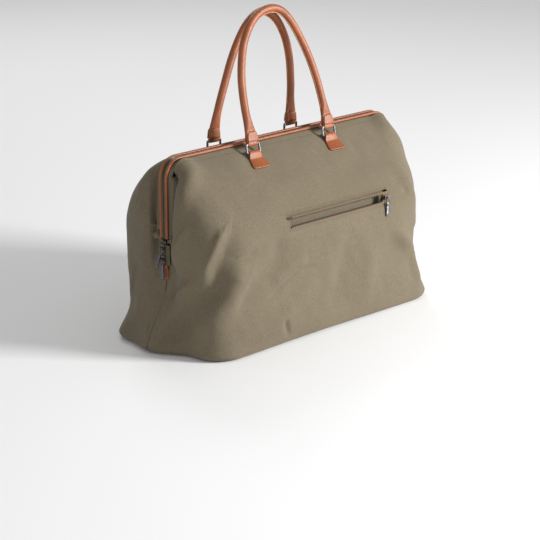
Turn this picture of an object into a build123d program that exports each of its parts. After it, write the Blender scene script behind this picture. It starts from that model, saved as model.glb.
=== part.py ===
from build123d import *
import os
from math import atan2, cos, degrees, hypot, radians, sin

os.makedirs("parts", exist_ok=True)

# A wire-framed canvas weekender bag, in millimetres. The origin is on the resting plane, under
# the middle of the bag. X runs along the bag, the front with the trolley sleeve faces -Y.

# ---- body -----------------------------------------------------------------------------------
body_length = 580.0
body_depth = 268.0
body_corner = 70.0        # plan radius of the upright corners
panel_height = 240.0      # top edge of the front and back panels
end_height = 188.0        # top edge of the stiff part of the end panels
canvas = 2.5
seam_gap = 0.2            # between pieces sewn together
travel_gap = 0.3          # between pieces on different moving bodies

# ---- frame ----------------------------------------------------------------------------------
frame_length = 546.0
frame_top = 337.0
frame_corner = 35.0
hinge_z = 195.0
leg_foot = 197.0          # lower end of the zip and piping on a frame
wire_foot = 205.0
wire_d = 4.0
casing_d = 8.0
piping_d = 6.4
piping_out = 7.5          # from the middle plane of the bag to the axis of the piping
wire_out = 9.5            # the same for the wire
wire_in = 10.6            # from the outline of the frame inwards to the wire
corridor = 14.2           # half the width kept free for the frames

# ---- main zip -------------------------------------------------------------------------------
teeth_low = 0.7           # half the gap between the two rows of teeth
teeth_width = 1.2
teeth_thick = 2.0
teeth_in = 3.2            # from the outline inwards to the middle of the teeth
tape_thick = 1.0
end_zip_foot = 150.0
end_zip_top = 193.0
end_tape_wide_top = 186.0
end_recess_foot = 118.0
end_stop = 3.0
end_tab_width = 16.0
end_tab_length = 22.0
end_tab_thick = 2.0

# ---- hinges of the frames ---------------------------------------------------------------------
pin_d = 3.0
pin_clearance = 0.08
lug_thick = 1.8
lug_d = 8.0
lug_gap = 0.3
hinge_plate_width = 18.0
hinge_plate_thick = 2.0
hinge_plate_foot = 152.0

# ---- sliders and pullers ------------------------------------------------------------------------
slider_length = 12.0
slider_width = 8.0
slider_plate = 1.6
slider_wedge = 0.8
slider_room = 3.6         # between the two plates of a slider
upper_slider_z = 180.0
lower_slider_z = 160.0
upper_puller_lean = 25.0  # stands out over the lower slider
ear_thick = 1.2
ear_gap = 4.2
ear_height = 4.4
puller_pin_d = 2.0
puller_eye_d = 4.8
puller_width = 7.0
puller_thick = 2.0
puller_length = 34.0
puller_loop = 11.0

# ---- trolley sleeve -----------------------------------------------------------------------------
slot_left = -97.0
slot_right = 131.0
slot_closed = 16.0        # closed stretch of zip beyond the slot's right end
slot_z = 217.0
slot_cut = 22.0
slot_open = 12.0          # clear height between the rows of teeth
slot_tooth = 1.5
sleeve_room = 14.0
sleeve_margin = 22.0      # beyond the slot, each side
sleeve_top = 232.0

# ---- inside -------------------------------------------------------------------------------------
board_thick = 3.0
board_inset = 1.5
lining = 1.0
lining_top = 228.0
pocket_length = 240.0
pocket_height = 130.0
pocket_foot = 70.0
pocket_thick = 1.5

# ---- tabs, rings, handles -----------------------------------------------------------------------
handle_spacing = 186.0    # between the middles of a handle's two rings
back_shift = -30.0        # the back pair sits this far along X from the front pair
ring_wire = 4.0
ring_width = 30.0         # between the axes of its side wires
ring_height = 16.0        # between the axes of its two bars
ring_bend = 2.5
ring_seat = 19.0          # down the slope from the upper panel's top edge to the ring's lower bar
loop_width = 24.0
loop_wall = 2.0
bar_clearance = 0.1
core_clearance = 0.2
tab_width_top = 27.0
tab_width_end = 38.0
tab_length = 31.0
tab_thick = 2.5
tab_corner = 4.0
handle_d = 14.0
handle_core_d = 9.0
handle_neck = 30.0        # from the ring's upper bar to where the handle is round
neck_overlap = 0.4        # the folded end lies over the roll by this much
front_apex_y = 14.0
back_apex_y = 31.0
handle_rise = 215.0         # from the top of the frame to the height of both apexes
# Outline of each handle: (along the bag from the pair's middle, up from the ring's upper bar),
# with the bend radius at each inner point.
front_outline = [(-93, 16), (-98, 100), (-66, 203), (12, 232), (82, 95), (93, 16)]
front_bends = [90, 55, 45, 90]
back_outline = [(-93, 16), (-56, 125), (-18, 205), (68, 214), (104, 110), (93, 16)]
back_bends = [150, 50, 45, 90]


def save(node, shape):
    """Write one node as parts/NODE.step."""
    shape.label = node
    export_step(shape, f"parts/{node}.step")


def block(x0, x1, y0, y1, z0, z1):
    """A box from its lowest to its highest corner."""
    centre = ((x0 + x1) / 2, (y0 + y1) / 2, (z0 + z1) / 2)
    return Pos(*centre) * Box(abs(x1 - x0), abs(y1 - y0), abs(z1 - z0))


def rod_x(x0, x1, y, z, d):
    """A round bar along X."""
    return Pos((x0 + x1) / 2, y, z) * Rot(0, 90, 0) * Cylinder(d / 2, abs(x1 - x0))


def rod_y(y0, y1, x, z, d):
    """A round bar along Y."""
    return Pos(x, (y0 + y1) / 2, z) * Rot(90, 0, 0) * Cylinder(d / 2, abs(y1 - y0))


def upright(inset, z0, z1):
    """The body's rounded plan, inset on every side, from z0 to z1."""
    plan = RectangleRounded(body_length - 2 * inset, body_depth - 2 * inset, body_corner - inset)
    return Pos(0, 0, z0) * extrude(plan, z1 - z0)


half_length = body_length / 2
half_depth = body_depth / 2
flat_end = half_length - body_corner      # where the front panel's flat part ends
far = body_length                         # larger than anything, for cutting
sleeve_front = -(half_depth - canvas)     # inner face of the front panel
sleeve_back = sleeve_front + sleeve_room
sleeve_x0 = slot_left - sleeve_margin
sleeve_x1 = slot_right + slot_closed + sleeve_margin


# ---- body panels --------------------------------------------------------------------------------
def wall(z1):
    return upright(0, 0, z1) - upright(canvas, -1, z1 + 1)


def make_front_panel():
    panel = wall(panel_height) & block(-flat_end, flat_end, -far, 0, -1, far)
    cut = block(slot_left, slot_right + slot_closed, -far, sleeve_front + 1,
                slot_z - slot_cut / 2, slot_z + slot_cut / 2)
    return panel - cut


def make_back_panel():
    return wall(panel_height) & block(-flat_end, flat_end, 0, far, -1, far)


def outline_x(inwards):
    """X on the left leg at a distance inside the frame's outline."""
    return -(frame_length / 2 - inwards)


slider_inner_face = teeth_in + slider_room / 2 + slider_plate
recess_floor = outline_x(slider_inner_face + 0.4)


def make_left_end_panel():
    """The end's stiff part, with the valley that takes the foot of the zip."""
    outside = -flat_end - seam_gap
    panel = wall(end_height) & block(-far, outside, -far, far, -1, far)
    lining_box = block(-half_length + canvas / 2, recess_floor + canvas, -corridor - canvas,
                       corridor + canvas, end_recess_foot - canvas, end_height)
    valley = block(-far, recess_floor, -corridor, corridor, end_recess_foot, end_height + 1)
    return panel + lining_box - valley


def make_bottom_panel():
    plate = upright(canvas + seam_gap, 0, canvas)
    slot = block(slot_left, slot_right, sleeve_front - 1, sleeve_back, -1, canvas + 1)
    return plate - slot


# The slack canvas above the panels, from the panels' top edge to the frames.
slope_top_y = corridor + canvas
slope_top_z = frame_top - 8.0
upper_end_length = 520.0
slope_run = half_depth - slope_top_y
slope_rise = slope_top_z - panel_height
slope_angle = degrees(atan2(slope_rise, slope_run))


def hipped(inset, lift):
    """The solid under the sloping canvas, inset on every side."""
    low = RectangleRounded(body_length - 2 * inset, body_depth - 2 * inset, body_corner - inset)
    high = RectangleRounded(upper_end_length - 2 * inset, 2 * slope_top_y - 2 * inset,
                            slope_top_y - inset - 1)
    ends = [Pos(0, 0, panel_height - lift) * low, Pos(0, 0, slope_top_z) * high]
    return loft(ends)


def make_upper_panels():
    """Front and back halves, with the corridor for the frames left open between them."""
    sloped = hipped(0, 0) - hipped(canvas, 0)
    sides = (upright(0, end_height + seam_gap, panel_height)
             - upright(canvas, end_height, panel_height + 1))
    sides -= block(-flat_end - seam_gap, flat_end + seam_gap, -far, far, 0, far)
    sloped -= block(-flat_end - seam_gap, flat_end + seam_gap, -far, far, 0,
                    panel_height + seam_gap)
    skin = sloped + sides - block(-far, far, -corridor, corridor, 0, far)
    return skin & block(-far, far, -far, 0, 0, far), skin & block(-far, far, 0, far, 0, far)


def make_sleeve_backing():
    """A shallow tray behind the front panel, open at the top slot and at the bottom."""
    foot = canvas + seam_gap
    outer = block(sleeve_x0, sleeve_x1, sleeve_front + seam_gap, sleeve_back + canvas, foot,
                  sleeve_top)
    room = block(sleeve_x0 + canvas, sleeve_x1 - canvas, sleeve_front - 1, sleeve_back, -1,
                 sleeve_top - canvas)
    return outer - room


lining_front = sleeve_back + canvas + seam_gap
lining_back = half_depth - canvas - seam_gap
board_top = canvas + seam_gap + board_thick


def make_lining():
    """A bucket that drops in behind the sleeve."""
    x_out = outline_x(0) + wire_in + casing_d + canvas
    x_in = -x_out
    outer = block(x_out, x_in, lining_front, lining_back, board_top + seam_gap, lining_top)
    inner = block(x_out + lining, x_in - lining, lining_front + lining, lining_back - lining,
                  board_top + seam_gap + lining, lining_top + 1)
    outer = fillet(outer.edges().filter_by(Axis.Z), body_corner / 2)
    inner = fillet(inner.edges().filter_by(Axis.Z), body_corner / 2 - lining)
    return outer - inner


def make_base_board():
    foot = canvas + seam_gap
    plate = upright(canvas + board_inset, foot, foot + board_thick)
    return plate & block(-far, far, sleeve_back + canvas + board_inset, far, 0, far)


def make_inner_pocket():
    back = lining_back - lining - seam_gap
    return block(-pocket_length / 2, pocket_length / 2, back - pocket_thick, back, pocket_foot,
                 pocket_foot + pocket_height)


# ---- frames, made once on the front (-Y) side and mirrored to the back --------------------------
def u_path(inwards, out, foot):
    """The frame's inverted U, set inside its outline and out from the bag's middle plane."""
    x = frame_length / 2 - inwards
    top = frame_top - inwards
    corners = [(-x, -out, foot), (-x, -out, top), (x, -out, top), (x, -out, foot)]
    return FilletPolyline(*corners, radius=frame_corner - inwards)


def along_u(section, inwards, out, foot):
    path = u_path(inwards, out, foot)
    start = Plane(path @ 0, x_dir=(1, 0, 0), z_dir=(0, 0, 1))
    return sweep(start * section, path=path)


lug_x = outline_x(wire_in) + wire_d / 2 - 0.6      # where the outer lug starts
hinge_plate_x = lug_x - travel_gap - hinge_plate_thick


def make_wire(lug_offset):
    """The wire with a flat lug at each foot; lug_offset keeps the two frames' lugs apart."""
    wire = along_u(Circle(wire_d / 2), wire_in, wire_out, wire_foot)
    x0 = lug_x + lug_offset
    x1 = x0 + lug_thick
    eye = rod_x(x0, x1, 0, hinge_z, lug_d)
    arm = Pos((x0 + x1) / 2, -wire_out / 2, (hinge_z + wire_foot + 4) / 2)
    reach = hypot(wire_out, wire_foot + 4 - hinge_z)
    tilt = degrees(atan2(wire_out, wire_foot + 4 - hinge_z))
    arm = arm * Rot(tilt, 0, 0) * Box(lug_thick, lug_d / 2, reach)
    toe = block(outline_x(wire_in), x1, -wire_out - 1.5, -wire_out + 1.5, wire_foot,
                wire_foot + 5)
    lug = eye + arm + toe
    lug -= rod_x(x0 - 1, x1 + 1, 0, hinge_z, pin_d + 2 * pin_clearance)
    return wire + lug + mirror(lug, Plane.YZ)


def make_casing():
    ring = Circle(casing_d / 2) - Circle(wire_d / 2 + core_clearance)
    return along_u(ring, wire_in, wire_out, wire_foot + 6)


def make_piping():
    return along_u(Circle(piping_d / 2), piping_d / 2, piping_out, leg_foot)


def make_teeth():
    out = teeth_low + teeth_width / 2
    return along_u(Rectangle(teeth_thick, teeth_width), teeth_in, out, leg_foot)


tape_low = teeth_low + teeth_width
tape_high = piping_out - piping_d / 2


def make_tape():
    width = tape_high - tape_low - 0.05
    return along_u(Rectangle(tape_thick, width), teeth_in, tape_low + width / 2, leg_foot)


def make_left_end_zip():
    """The closed stretch below the frames: teeth on a tape that widens below the hinge."""
    x = outline_x(teeth_in)
    teeth = block(x - teeth_thick / 2, x + teeth_thick / 2, teeth_low, tape_low, end_zip_foot,
                  end_zip_top)
    narrow = block(x - tape_thick / 2, x + tape_thick / 2, tape_low, tape_high, end_zip_foot,
                   end_zip_top)
    wide = block(x - tape_thick / 2, x + tape_thick / 2, tape_low, corridor - seam_gap,
                 end_zip_foot, end_tape_wide_top)
    half = teeth + narrow + wide
    stop = block(x - teeth_thick / 2, x + teeth_thick / 2, -tape_low, tape_low,
                 end_zip_foot - end_stop, end_zip_foot)
    return half + mirror(half, Plane.XZ) + stop


def make_left_end_tab():
    """The leather tab that finishes the zip's lower end, on the floor of the valley."""
    top = end_zip_foot - end_stop - seam_gap
    tab = block(recess_floor - end_tab_thick, recess_floor, -end_tab_width / 2,
                end_tab_width / 2, top - end_tab_length, top)
    return fillet(tab.edges().filter_by(Axis.X), 3)


def make_left_hinge_plate():
    x0 = hinge_plate_x
    plate = block(x0, x0 + hinge_plate_thick, -hinge_plate_width / 2, hinge_plate_width / 2,
                  hinge_plate_foot, hinge_z + lug_d / 2 + 1)
    return plate - rod_x(x0 - 1, x0 + hinge_plate_thick + 1, 0, hinge_z, pin_d)


def make_left_hinge_pin():
    x0 = hinge_plate_x
    x1 = lug_x + 2 * lug_thick + lug_gap + travel_gap
    head = rod_x(x1, x1 + 1.2, 0, hinge_z, pin_d + 3)
    return rod_x(x0, x1, 0, hinge_z, pin_d) + head


# ---- sliders, built facing -X about their own middle, and pullers hanging from their pin --------
def slider(side_ears):
    """Two plates and a wedge, with ears or a stud for the puller. Outside is -X, travel is Z."""
    room = slider_room / 2
    outer = block(-room - slider_plate, -room, -slider_width / 2, slider_width / 2,
                  -slider_length / 2, slider_length / 2)
    inner = block(room, room + slider_plate, -slider_width / 2, slider_width / 2,
                  -slider_length / 2, slider_length / 2)
    wedge = block(-room, room, -slider_wedge / 2, slider_wedge / 2, -slider_length / 2,
                  slider_length / 2)
    body = outer + inner + wedge
    face = -room - slider_plate
    if side_ears:
        pin_x = face - ear_height + puller_pin_d
        for y in (-ear_gap / 2 - ear_thick, ear_gap / 2):
            body += block(face - ear_height, face, y, y + ear_thick, -2.5, 2.5)
        body += rod_y(-ear_gap / 2 - ear_thick, ear_gap / 2 + ear_thick, pin_x, 0, puller_pin_d)
    else:
        stud_end = face - puller_thick - 2 * travel_gap
        body += rod_x(stud_end, face, 0, 0, puller_pin_d)
        body += rod_x(stud_end - 0.8, stud_end, 0, 0, puller_eye_d - 0.8)
    return body


def puller_blade(width):
    """An eye round the pin, an open loop below it and a bar, hanging down from the origin."""
    thick = puller_thick
    loop_foot = -puller_loop
    loop = block(-thick / 2, thick / 2, -puller_width / 2, puller_width / 2, loop_foot,
                 -puller_eye_d / 2 + 1)
    loop -= block(-thick, thick, -puller_width / 2 + 1.6, puller_width / 2 - 1.6,
                  loop_foot + 1.6, -puller_eye_d / 2 - 0.6)
    bar = block(-thick / 2, thick / 2, -puller_width / 2 + 0.6, puller_width / 2 - 0.6,
                -puller_length, loop_foot)
    bar = fillet(bar.edges().filter_by(Axis.X), 1.2)
    return bar + loop


def puller_on_ears():
    eye = rod_y(-ear_gap / 2 + travel_gap, ear_gap / 2 - travel_gap, 0, 0, puller_eye_d)
    neck = block(-puller_thick / 2, puller_thick / 2, -ear_gap / 2 + travel_gap,
                 ear_gap / 2 - travel_gap, -puller_eye_d, 0)
    blade = Pos(0, 0, -2.5) * puller_blade(ear_gap)
    bore = rod_y(-far, far, 0, 0, puller_pin_d + 2 * pin_clearance)
    return eye + neck + blade - bore


def puller_on_stud():
    eye = rod_x(-puller_thick / 2, puller_thick / 2, 0, 0, puller_eye_d)
    neck = block(-puller_thick / 2, puller_thick / 2, -1.2, 1.2, -puller_eye_d, 0)
    bore = rod_x(-far, far, 0, 0, puller_pin_d + 2 * pin_clearance)
    return eye + neck + puller_blade(ear_gap) - bore


slider_x = outline_x(teeth_in)
slider_pin_x = slider_x - slider_room / 2 - slider_plate - ear_height + puller_pin_d


# ---- trolley sleeve's upper slot ----------------------------------------------------------------
slot_y = -(half_depth - canvas / 2)


def make_slot_tape(side):
    """One tape: narrow along the open slot and wide at the closed stretch. side is 1 or -1."""
    edge = slot_cut / 2 - seam_gap
    y0 = slot_y - tape_thick / 2
    y1 = slot_y + tape_thick / 2
    low = slot_open / 2 + slot_tooth
    narrow = block(slot_left + seam_gap, slot_right, y0, y1, slot_z + side * low,
                   slot_z + side * edge)
    wide = block(slot_right, slot_right + slot_closed - seam_gap, y0, y1,
                 slot_z + side * (teeth_low + slot_tooth), slot_z + side * edge)
    return narrow + wide


def make_slot_teeth(side):
    y0 = slot_y - teeth_thick / 2
    y1 = slot_y + teeth_thick / 2
    low = slot_open / 2
    run = block(slot_left + seam_gap, slot_right, y0, y1, slot_z + side * low,
                slot_z + side * (low + slot_tooth))
    turn = block(slot_right - slot_tooth, slot_right, y0, y1, slot_z + side * teeth_low,
                 slot_z + side * (low + slot_tooth))
    shut = block(slot_right, slot_right + slot_closed - seam_gap, y0, y1,
                 slot_z + side * teeth_low, slot_z + side * (teeth_low + slot_tooth))
    return run + turn + shut


def on_slot(shape):
    """Turn a slider or puller from the end zip to the slot: outside -Y, travel X."""
    return Rot(0, 0, 90) * Rot(90, 0, 0) * shape


# ---- tabs, rings and handles --------------------------------------------------------------------
def slope_frame(x):
    """On the front slope below the top edge: local X along the bag, Y down, Z outwards."""
    a = radians(slope_angle)
    return Plane((x, -slope_top_y, slope_top_z), x_dir=(-1, 0, 0), z_dir=(0, -sin(a), cos(a)))


loop_d = ring_wire + 2 * (bar_clearance + loop_wall)
bar_height = loop_d / 2 + travel_gap


def bar_place(x):
    return slope_frame(x).location * Pos(0, ring_seat, bar_height)


def make_tab(x):
    """A leather loop round the ring's lower bar, with a flared tongue down the slope."""
    top = tab_width_top / 2
    end = tab_width_end / 2
    tongue = make_face(Polyline((-top, 0), (-end, tab_length), (end, tab_length), (top, 0),
                                (-top, 0)))
    tongue = fillet(tongue.vertices().sort_by(Axis.Y)[-2:], tab_corner)
    tongue = Pos(0, ring_seat, travel_gap) * extrude(tongue, tab_thick)
    loop = Pos(0, ring_seat, bar_height) * Rot(0, 90, 0) * Cylinder(loop_d / 2, loop_width)
    bore = Pos(0, ring_seat, bar_height) * Rot(0, 90, 0)
    bore = bore * Cylinder(ring_wire / 2 + bar_clearance, 2 * tab_width_end)
    sides = (tab_width_top - loop_width) / 2 + 2
    for edge in (-1, 1):
        middle = edge * (loop_width + sides) / 2
        tongue -= Pos(middle, ring_seat, bar_height) * Box(sides, loop_d + 4, loop_d + 4)
    return slope_frame(x).location * (tongue + loop - bore)


def lower_bar(side):
    """(y, z) of the ring's lower bar; side is -1 at the front, 1 at the back."""
    a = radians(slope_angle)
    y = slope_top_y + ring_seat * cos(a) + bar_height * sin(a)
    z = slope_top_z - ring_seat * sin(a) + bar_height * cos(a)
    return side * y, z


apex_z = frame_top + handle_rise


def handle_plane(x, side):
    """Plane of a ring or handle: local X along the bag, Y up towards the apex."""
    y, z = lower_bar(side)
    apex = front_apex_y if side < 0 else back_apex_y
    lean = atan2(apex - y, apex_z - z)
    return Plane((x, y, z), x_dir=(1, 0, 0), z_dir=(0, -cos(lean), sin(lean)))


def make_ring(x, side):
    path = Pos(0, ring_height / 2) * RectangleRounded(ring_width, ring_height, ring_bend)
    path = Wire(path.edges())
    start = Plane(path @ 0, z_dir=path % 0)
    ring = sweep(start * Circle(ring_wire / 2), path=path)
    return handle_plane(x, side).location * ring


def handle_path(outline, bends):
    points = [(x, ring_height + z) for x, z in outline]
    return FilletPolyline(*points, radius=bends)


def make_handle(x, side, outline, bends):
    """Rolled leather: a tube on the outline, flattened at each end into a loop on its ring."""
    path = handle_path(outline, bends)
    start = Plane(path @ 0, z_dir=path % 0)
    leather = sweep(start * Circle(handle_d / 2), path=path)
    for end in (-1, 1):
        foot = Pos(end * handle_spacing / 2, ring_height, 0)
        loop = foot * Rot(0, 90, 0) * Cylinder(loop_d / 2, loop_width)
        upwards = Rot(-90, 0, 0)
        low = Pos(end * handle_spacing / 2, ring_height + 1, 0) * upwards
        high = Pos(end * handle_spacing / 2, ring_height + handle_neck, 0) * upwards
        neck = loft([low * Rectangle(loop_width, loop_d - 0.2), high * Circle(handle_d / 2 + neck_overlap)])
        bore = foot * Rot(0, 90, 0) * Cylinder(ring_wire / 2 + bar_clearance, 2 * loop_width)
        leather += loop + neck
        leather -= bore
    leather -= sweep(start * Circle(handle_core_d / 2 + core_clearance), path=path)
    return handle_plane(x, side).location * leather


def make_core(x, side, outline, bends):
    path = handle_path(outline, bends)
    start = Plane(path @ 0, z_dir=path % 0)
    core = sweep(start * Circle(handle_core_d / 2), path=path)
    return handle_plane(x, side).location * core


# ---- write every node ---------------------------------------------------------------------------
front_upper, back_upper = make_upper_panels()
left_end = make_left_end_panel()
save("front_panel", make_front_panel())
save("back_panel", make_back_panel())
save("left_end_panel", left_end)
save("right_end_panel", mirror(left_end, Plane.YZ))
save("bottom_panel", make_bottom_panel())
save("front_upper_panel", front_upper)
save("back_upper_panel", back_upper)
save("sleeve_backing", make_sleeve_backing())
save("lining", make_lining())
save("base_board", make_base_board())
save("inner_pocket", make_inner_pocket())

lug_offsets = {"front": 0, "back": lug_thick + lug_gap}
for name, plane in (("front", None), ("back", Plane.XZ)):
    pieces = {
        "frame_wire": make_wire(lug_offsets[name]),
        "frame_casing": make_casing(),
        "piping": make_piping(),
        "zip_tape": make_tape(),
        "zip_teeth": make_teeth(),
    }
    for piece, shape in pieces.items():
        save(f"{name}_{piece}", mirror(shape, plane) if plane else shape)

for name, make in (("end_zip", make_left_end_zip), ("end_tab", make_left_end_tab),
                   ("hinge_plate", make_left_hinge_plate), ("hinge_pin", make_left_hinge_pin)):
    left = make()
    save(f"left_{name}", left)
    save(f"right_{name}", mirror(left, Plane.YZ))

for name, z, lean in (("upper", upper_slider_z, upper_puller_lean), ("lower", lower_slider_z, 0)):
    save(f"{name}_slider", Pos(slider_x, 0, z) * slider(True))
    save(f"{name}_puller", Pos(slider_pin_x, 0, z) * Rot(0, lean, 0) * puller_on_ears())

for name, side in (("upper", 1), ("lower", -1)):
    save(f"slot_{name}_tape", make_slot_tape(side))
    save(f"slot_{name}_teeth", make_slot_teeth(side))
slot_slider_x = slot_right + slot_closed / 2
slot_pin_y = slot_y - slider_room / 2 - slider_plate - travel_gap - puller_thick / 2
save("slot_slider", Pos(slot_slider_x, slot_y, slot_z) * on_slot(slider(False)))
save("slot_puller", Pos(slot_slider_x, slot_pin_y, slot_z) * Rot(0, 0, 90) * puller_on_stud())

handles = (("front", -1, 0, front_outline, front_bends),
           ("back", 1, back_shift, back_outline, back_bends))
for name, side, shift, outline, bends in handles:
    save(f"{name}_handle", make_handle(shift, side, outline, bends))
    save(f"{name}_handle_core", make_core(shift, side, outline, bends))
    for end, sign in (("left", -1), ("right", 1)):
        x = shift + sign * handle_spacing / 2
        tab = make_tab(x)
        save(f"{name}_{end}_tab", mirror(tab, Plane.XZ) if side > 0 else tab)
        save(f"{name}_{end}_ring", make_ring(x, side))
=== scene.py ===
# %% [markdown]
# # A wire-framed canvas weekender bag
# The bag's construction is already settled in CAD: where the frames, hinges, zips, rings and
# handles are, and how they move. This lesson dresses that construction in canvas, leather and
# metal, without moving any of it. Everything is in metres, in the CAD's own frame: X runs along
# the bag, the side with the trolley sleeve faces -Y, and Z is up.

# %% Load the frame
from math import cos, exp, pi, radians, sin, sqrt

import bmesh
import bpy
import numpy as np
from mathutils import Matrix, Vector, noise
from mathutils.bvhtree import BVHTree


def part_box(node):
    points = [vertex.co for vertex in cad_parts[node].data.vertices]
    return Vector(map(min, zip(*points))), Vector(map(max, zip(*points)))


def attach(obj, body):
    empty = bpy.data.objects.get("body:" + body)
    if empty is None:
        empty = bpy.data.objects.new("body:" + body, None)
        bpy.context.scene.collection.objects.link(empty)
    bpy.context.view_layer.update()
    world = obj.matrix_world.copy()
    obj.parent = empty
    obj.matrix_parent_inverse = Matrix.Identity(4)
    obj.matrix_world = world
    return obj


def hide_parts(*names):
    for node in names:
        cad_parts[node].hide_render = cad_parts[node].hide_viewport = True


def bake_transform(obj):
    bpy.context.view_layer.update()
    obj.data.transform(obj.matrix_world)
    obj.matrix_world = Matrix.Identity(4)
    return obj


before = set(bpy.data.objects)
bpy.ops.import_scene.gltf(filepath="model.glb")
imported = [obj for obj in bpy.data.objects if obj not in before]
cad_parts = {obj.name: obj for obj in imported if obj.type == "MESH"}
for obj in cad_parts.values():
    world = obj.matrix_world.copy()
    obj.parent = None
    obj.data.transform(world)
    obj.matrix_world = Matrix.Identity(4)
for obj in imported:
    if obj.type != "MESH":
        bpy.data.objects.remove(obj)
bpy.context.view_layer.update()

# %% [markdown]
# Meshes in code need only a few helpers. The main ones turn points and faces into an object, make
# a grid of faces over rows of points, and run a section along a line. dress() then hides the CAD
# nodes that the piece stands for and hangs the piece on the body that carries it. Each finished
# object keeps its origin at zero, so object coordinates are the same for every piece and a weave
# doesn't jump from one panel to the next.

# %% Mesh helpers
def new_object(name, points, faces, material=None, smooth=True):
    mesh = bpy.data.meshes.new(name)
    mesh.from_pydata([tuple(p) for p in points], [], faces)
    mesh.update()
    if smooth:
        mesh.polygons.foreach_set("use_smooth", [True] * len(mesh.polygons))
    obj = bpy.data.objects.new(name, mesh)
    bpy.context.scene.collection.objects.link(obj)
    if material:
        mesh.materials.append(material)
    return obj


def grid_faces(rows, columns, closed=False, first=0):
    """Quads over rows of equal length; closed joins each row's last point to its first."""
    faces = []
    for i in range(rows - 1):
        for j in range(columns if closed else columns - 1):
            a = first + i * columns + j
            b = first + i * columns + (j + 1) % columns
            faces.append((a, b, b + columns, a + columns))
    return faces


def smooth_line(points, steps):
    """A Catmull-Rom curve through the points, as a finer list of points."""
    points = [Vector(p) for p in points]
    last = len(points) - 1
    line = []
    for i in range(last):
        p0, p1, p2, p3 = (points[min(max(i + k, 0), last)] for k in (-1, 0, 1, 2))
        for step in range(steps):
            t = step / steps
            line.append(0.5 * (2 * p1 + (p2 - p0) * t + (2 * p0 - 5 * p1 + 4 * p2 - p3) * t * t
                               + (3 * p1 - p0 - 3 * p2 + p3) * t ** 3))
    line.append(points[-1])
    return line


def frames_along(line, closed=False, up=None):
    """A side and an up vector at each point, turned as little as possible."""
    count = len(line)
    result = []
    side = None
    for i, p in enumerate(line):
        ahead = line[(i + 1) % count] if closed or i < count - 1 else line[i]
        behind = line[i - 1] if closed or i > 0 else line[i]
        tangent = (ahead - behind).normalized()
        if side is None:
            guide = Vector(up) if up else Vector((0.13, 0.92, 0.37))
            side = tangent.cross(guide).normalized()
        elif up:
            side = tangent.cross(Vector(up)).normalized()
        side = (side - tangent * side.dot(tangent)).normalized()
        result.append((side, side.cross(tangent).normalized()))
    return result


def skin(name, points, ring, material, closed=False):
    """A surface over rings of points. Its ends are capped, or joined to each other if closed."""
    last = len(points) - ring
    faces = grid_faces(len(points) // ring, ring, closed=True)
    if closed:
        faces += [(last + j, last + (j + 1) % ring, (j + 1) % ring, j) for j in range(ring)]
    else:
        faces += [tuple(range(ring))[::-1], tuple(range(last, last + ring))]
    obj = new_object(name, points, faces, material)
    recalculate(obj)
    return obj


def swept(name, line, section, material, closed=False, up=None):
    """A closed section of (side, up) points swept along a line, with capped ends."""
    line = [Vector(p) for p in line]
    points = []
    for p, (side, rise) in zip(line, frames_along(line, closed, up)):
        points += [p + side * s + rise * r for s, r in section]
    return skin(name, points, len(section), material, closed)


def recalculate(obj):
    work = bmesh.new()
    work.from_mesh(obj.data)
    bmesh.ops.recalc_face_normals(work, faces=work.faces)
    work.to_mesh(obj.data)
    work.free()


def merge_close(obj, distance):
    """Joins points that lie on each other, as where a ring of faces meets itself."""
    work = bmesh.new()
    work.from_mesh(obj.data)
    bmesh.ops.remove_doubles(work, verts=work.verts, dist=distance)
    work.to_mesh(obj.data)
    work.free()


def circle(radius, count=16):
    return [(radius * cos(2 * pi * k / count), radius * sin(2 * pi * k / count))
            for k in range(count)]


def box_section(width, height, round_off):
    """A rectangle with rounded corners, as a section."""
    w = width / 2 - round_off
    h = height / 2 - round_off
    points = []
    for corner, (cx, cy) in enumerate(((w, h), (-w, h), (-w, -h), (w, -h))):
        for k in range(4):
            a = corner * pi / 2 + k * pi / 6
            points.append((cx + round_off * cos(a), cy + round_off * sin(a)))
    return points


def joined(name, objects):
    """Joins plain mesh objects into one."""
    work = bmesh.new()
    for obj in objects:
        work.from_mesh(obj.data)
    mesh = bpy.data.meshes.new(name)
    for material in objects[0].data.materials:
        mesh.materials.append(material)
    work.to_mesh(mesh)
    work.free()
    mesh.polygons.foreach_set("use_smooth", [True] * len(mesh.polygons))
    for obj in objects:
        bpy.data.objects.remove(obj)
    result = bpy.data.objects.new(name, mesh)
    bpy.context.scene.collection.objects.link(result)
    return result


def bevelled(obj, width):
    bevel = obj.modifiers.new("Edge", "BEVEL")
    bevel.width = width
    bevel.segments = 2
    bevel.limit_method = "ANGLE"
    bevel.angle_limit = radians(40)


def dress(piece, slot, body, *replaced):
    """The piece's finish slot, which is not used, the body that carries it, and the CAD nodes it
    stands for.
    """
    if replaced:
        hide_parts(*replaced)
    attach(piece, body)


print("helpers ready")

# %% [markdown]
# Materials are built from node trees. Writing the maths as Python expressions keeps them short:
# a small class wraps a socket, and each operator adds a Math node.

# %% Shader helpers
class Value:
    """A number socket that can be added, multiplied and so on."""

    def __init__(self, tree, socket):
        self.tree = tree
        self.socket = socket

    def math(self, operation, other=None, flip=False, clamp=False):
        node = self.tree.nodes.new("ShaderNodeMath")
        node.operation = operation
        node.use_clamp = clamp
        for index, item in enumerate((other, self) if flip else (self, other)):
            if isinstance(item, Value):
                self.tree.links.new(item.socket, node.inputs[index])
            elif item is not None:
                node.inputs[index].default_value = item
        return Value(self.tree, node.outputs[0])

    def __add__(self, other):
        return self.math("ADD", other)

    __radd__ = __add__

    def __sub__(self, other):
        return self.math("SUBTRACT", other)

    def __rsub__(self, other):
        return self.math("SUBTRACT", other, flip=True)

    def __mul__(self, other):
        return self.math("MULTIPLY", other)

    __rmul__ = __mul__

    def clamped(self):
        return self.math("ADD", 0.0, clamp=True)


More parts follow.
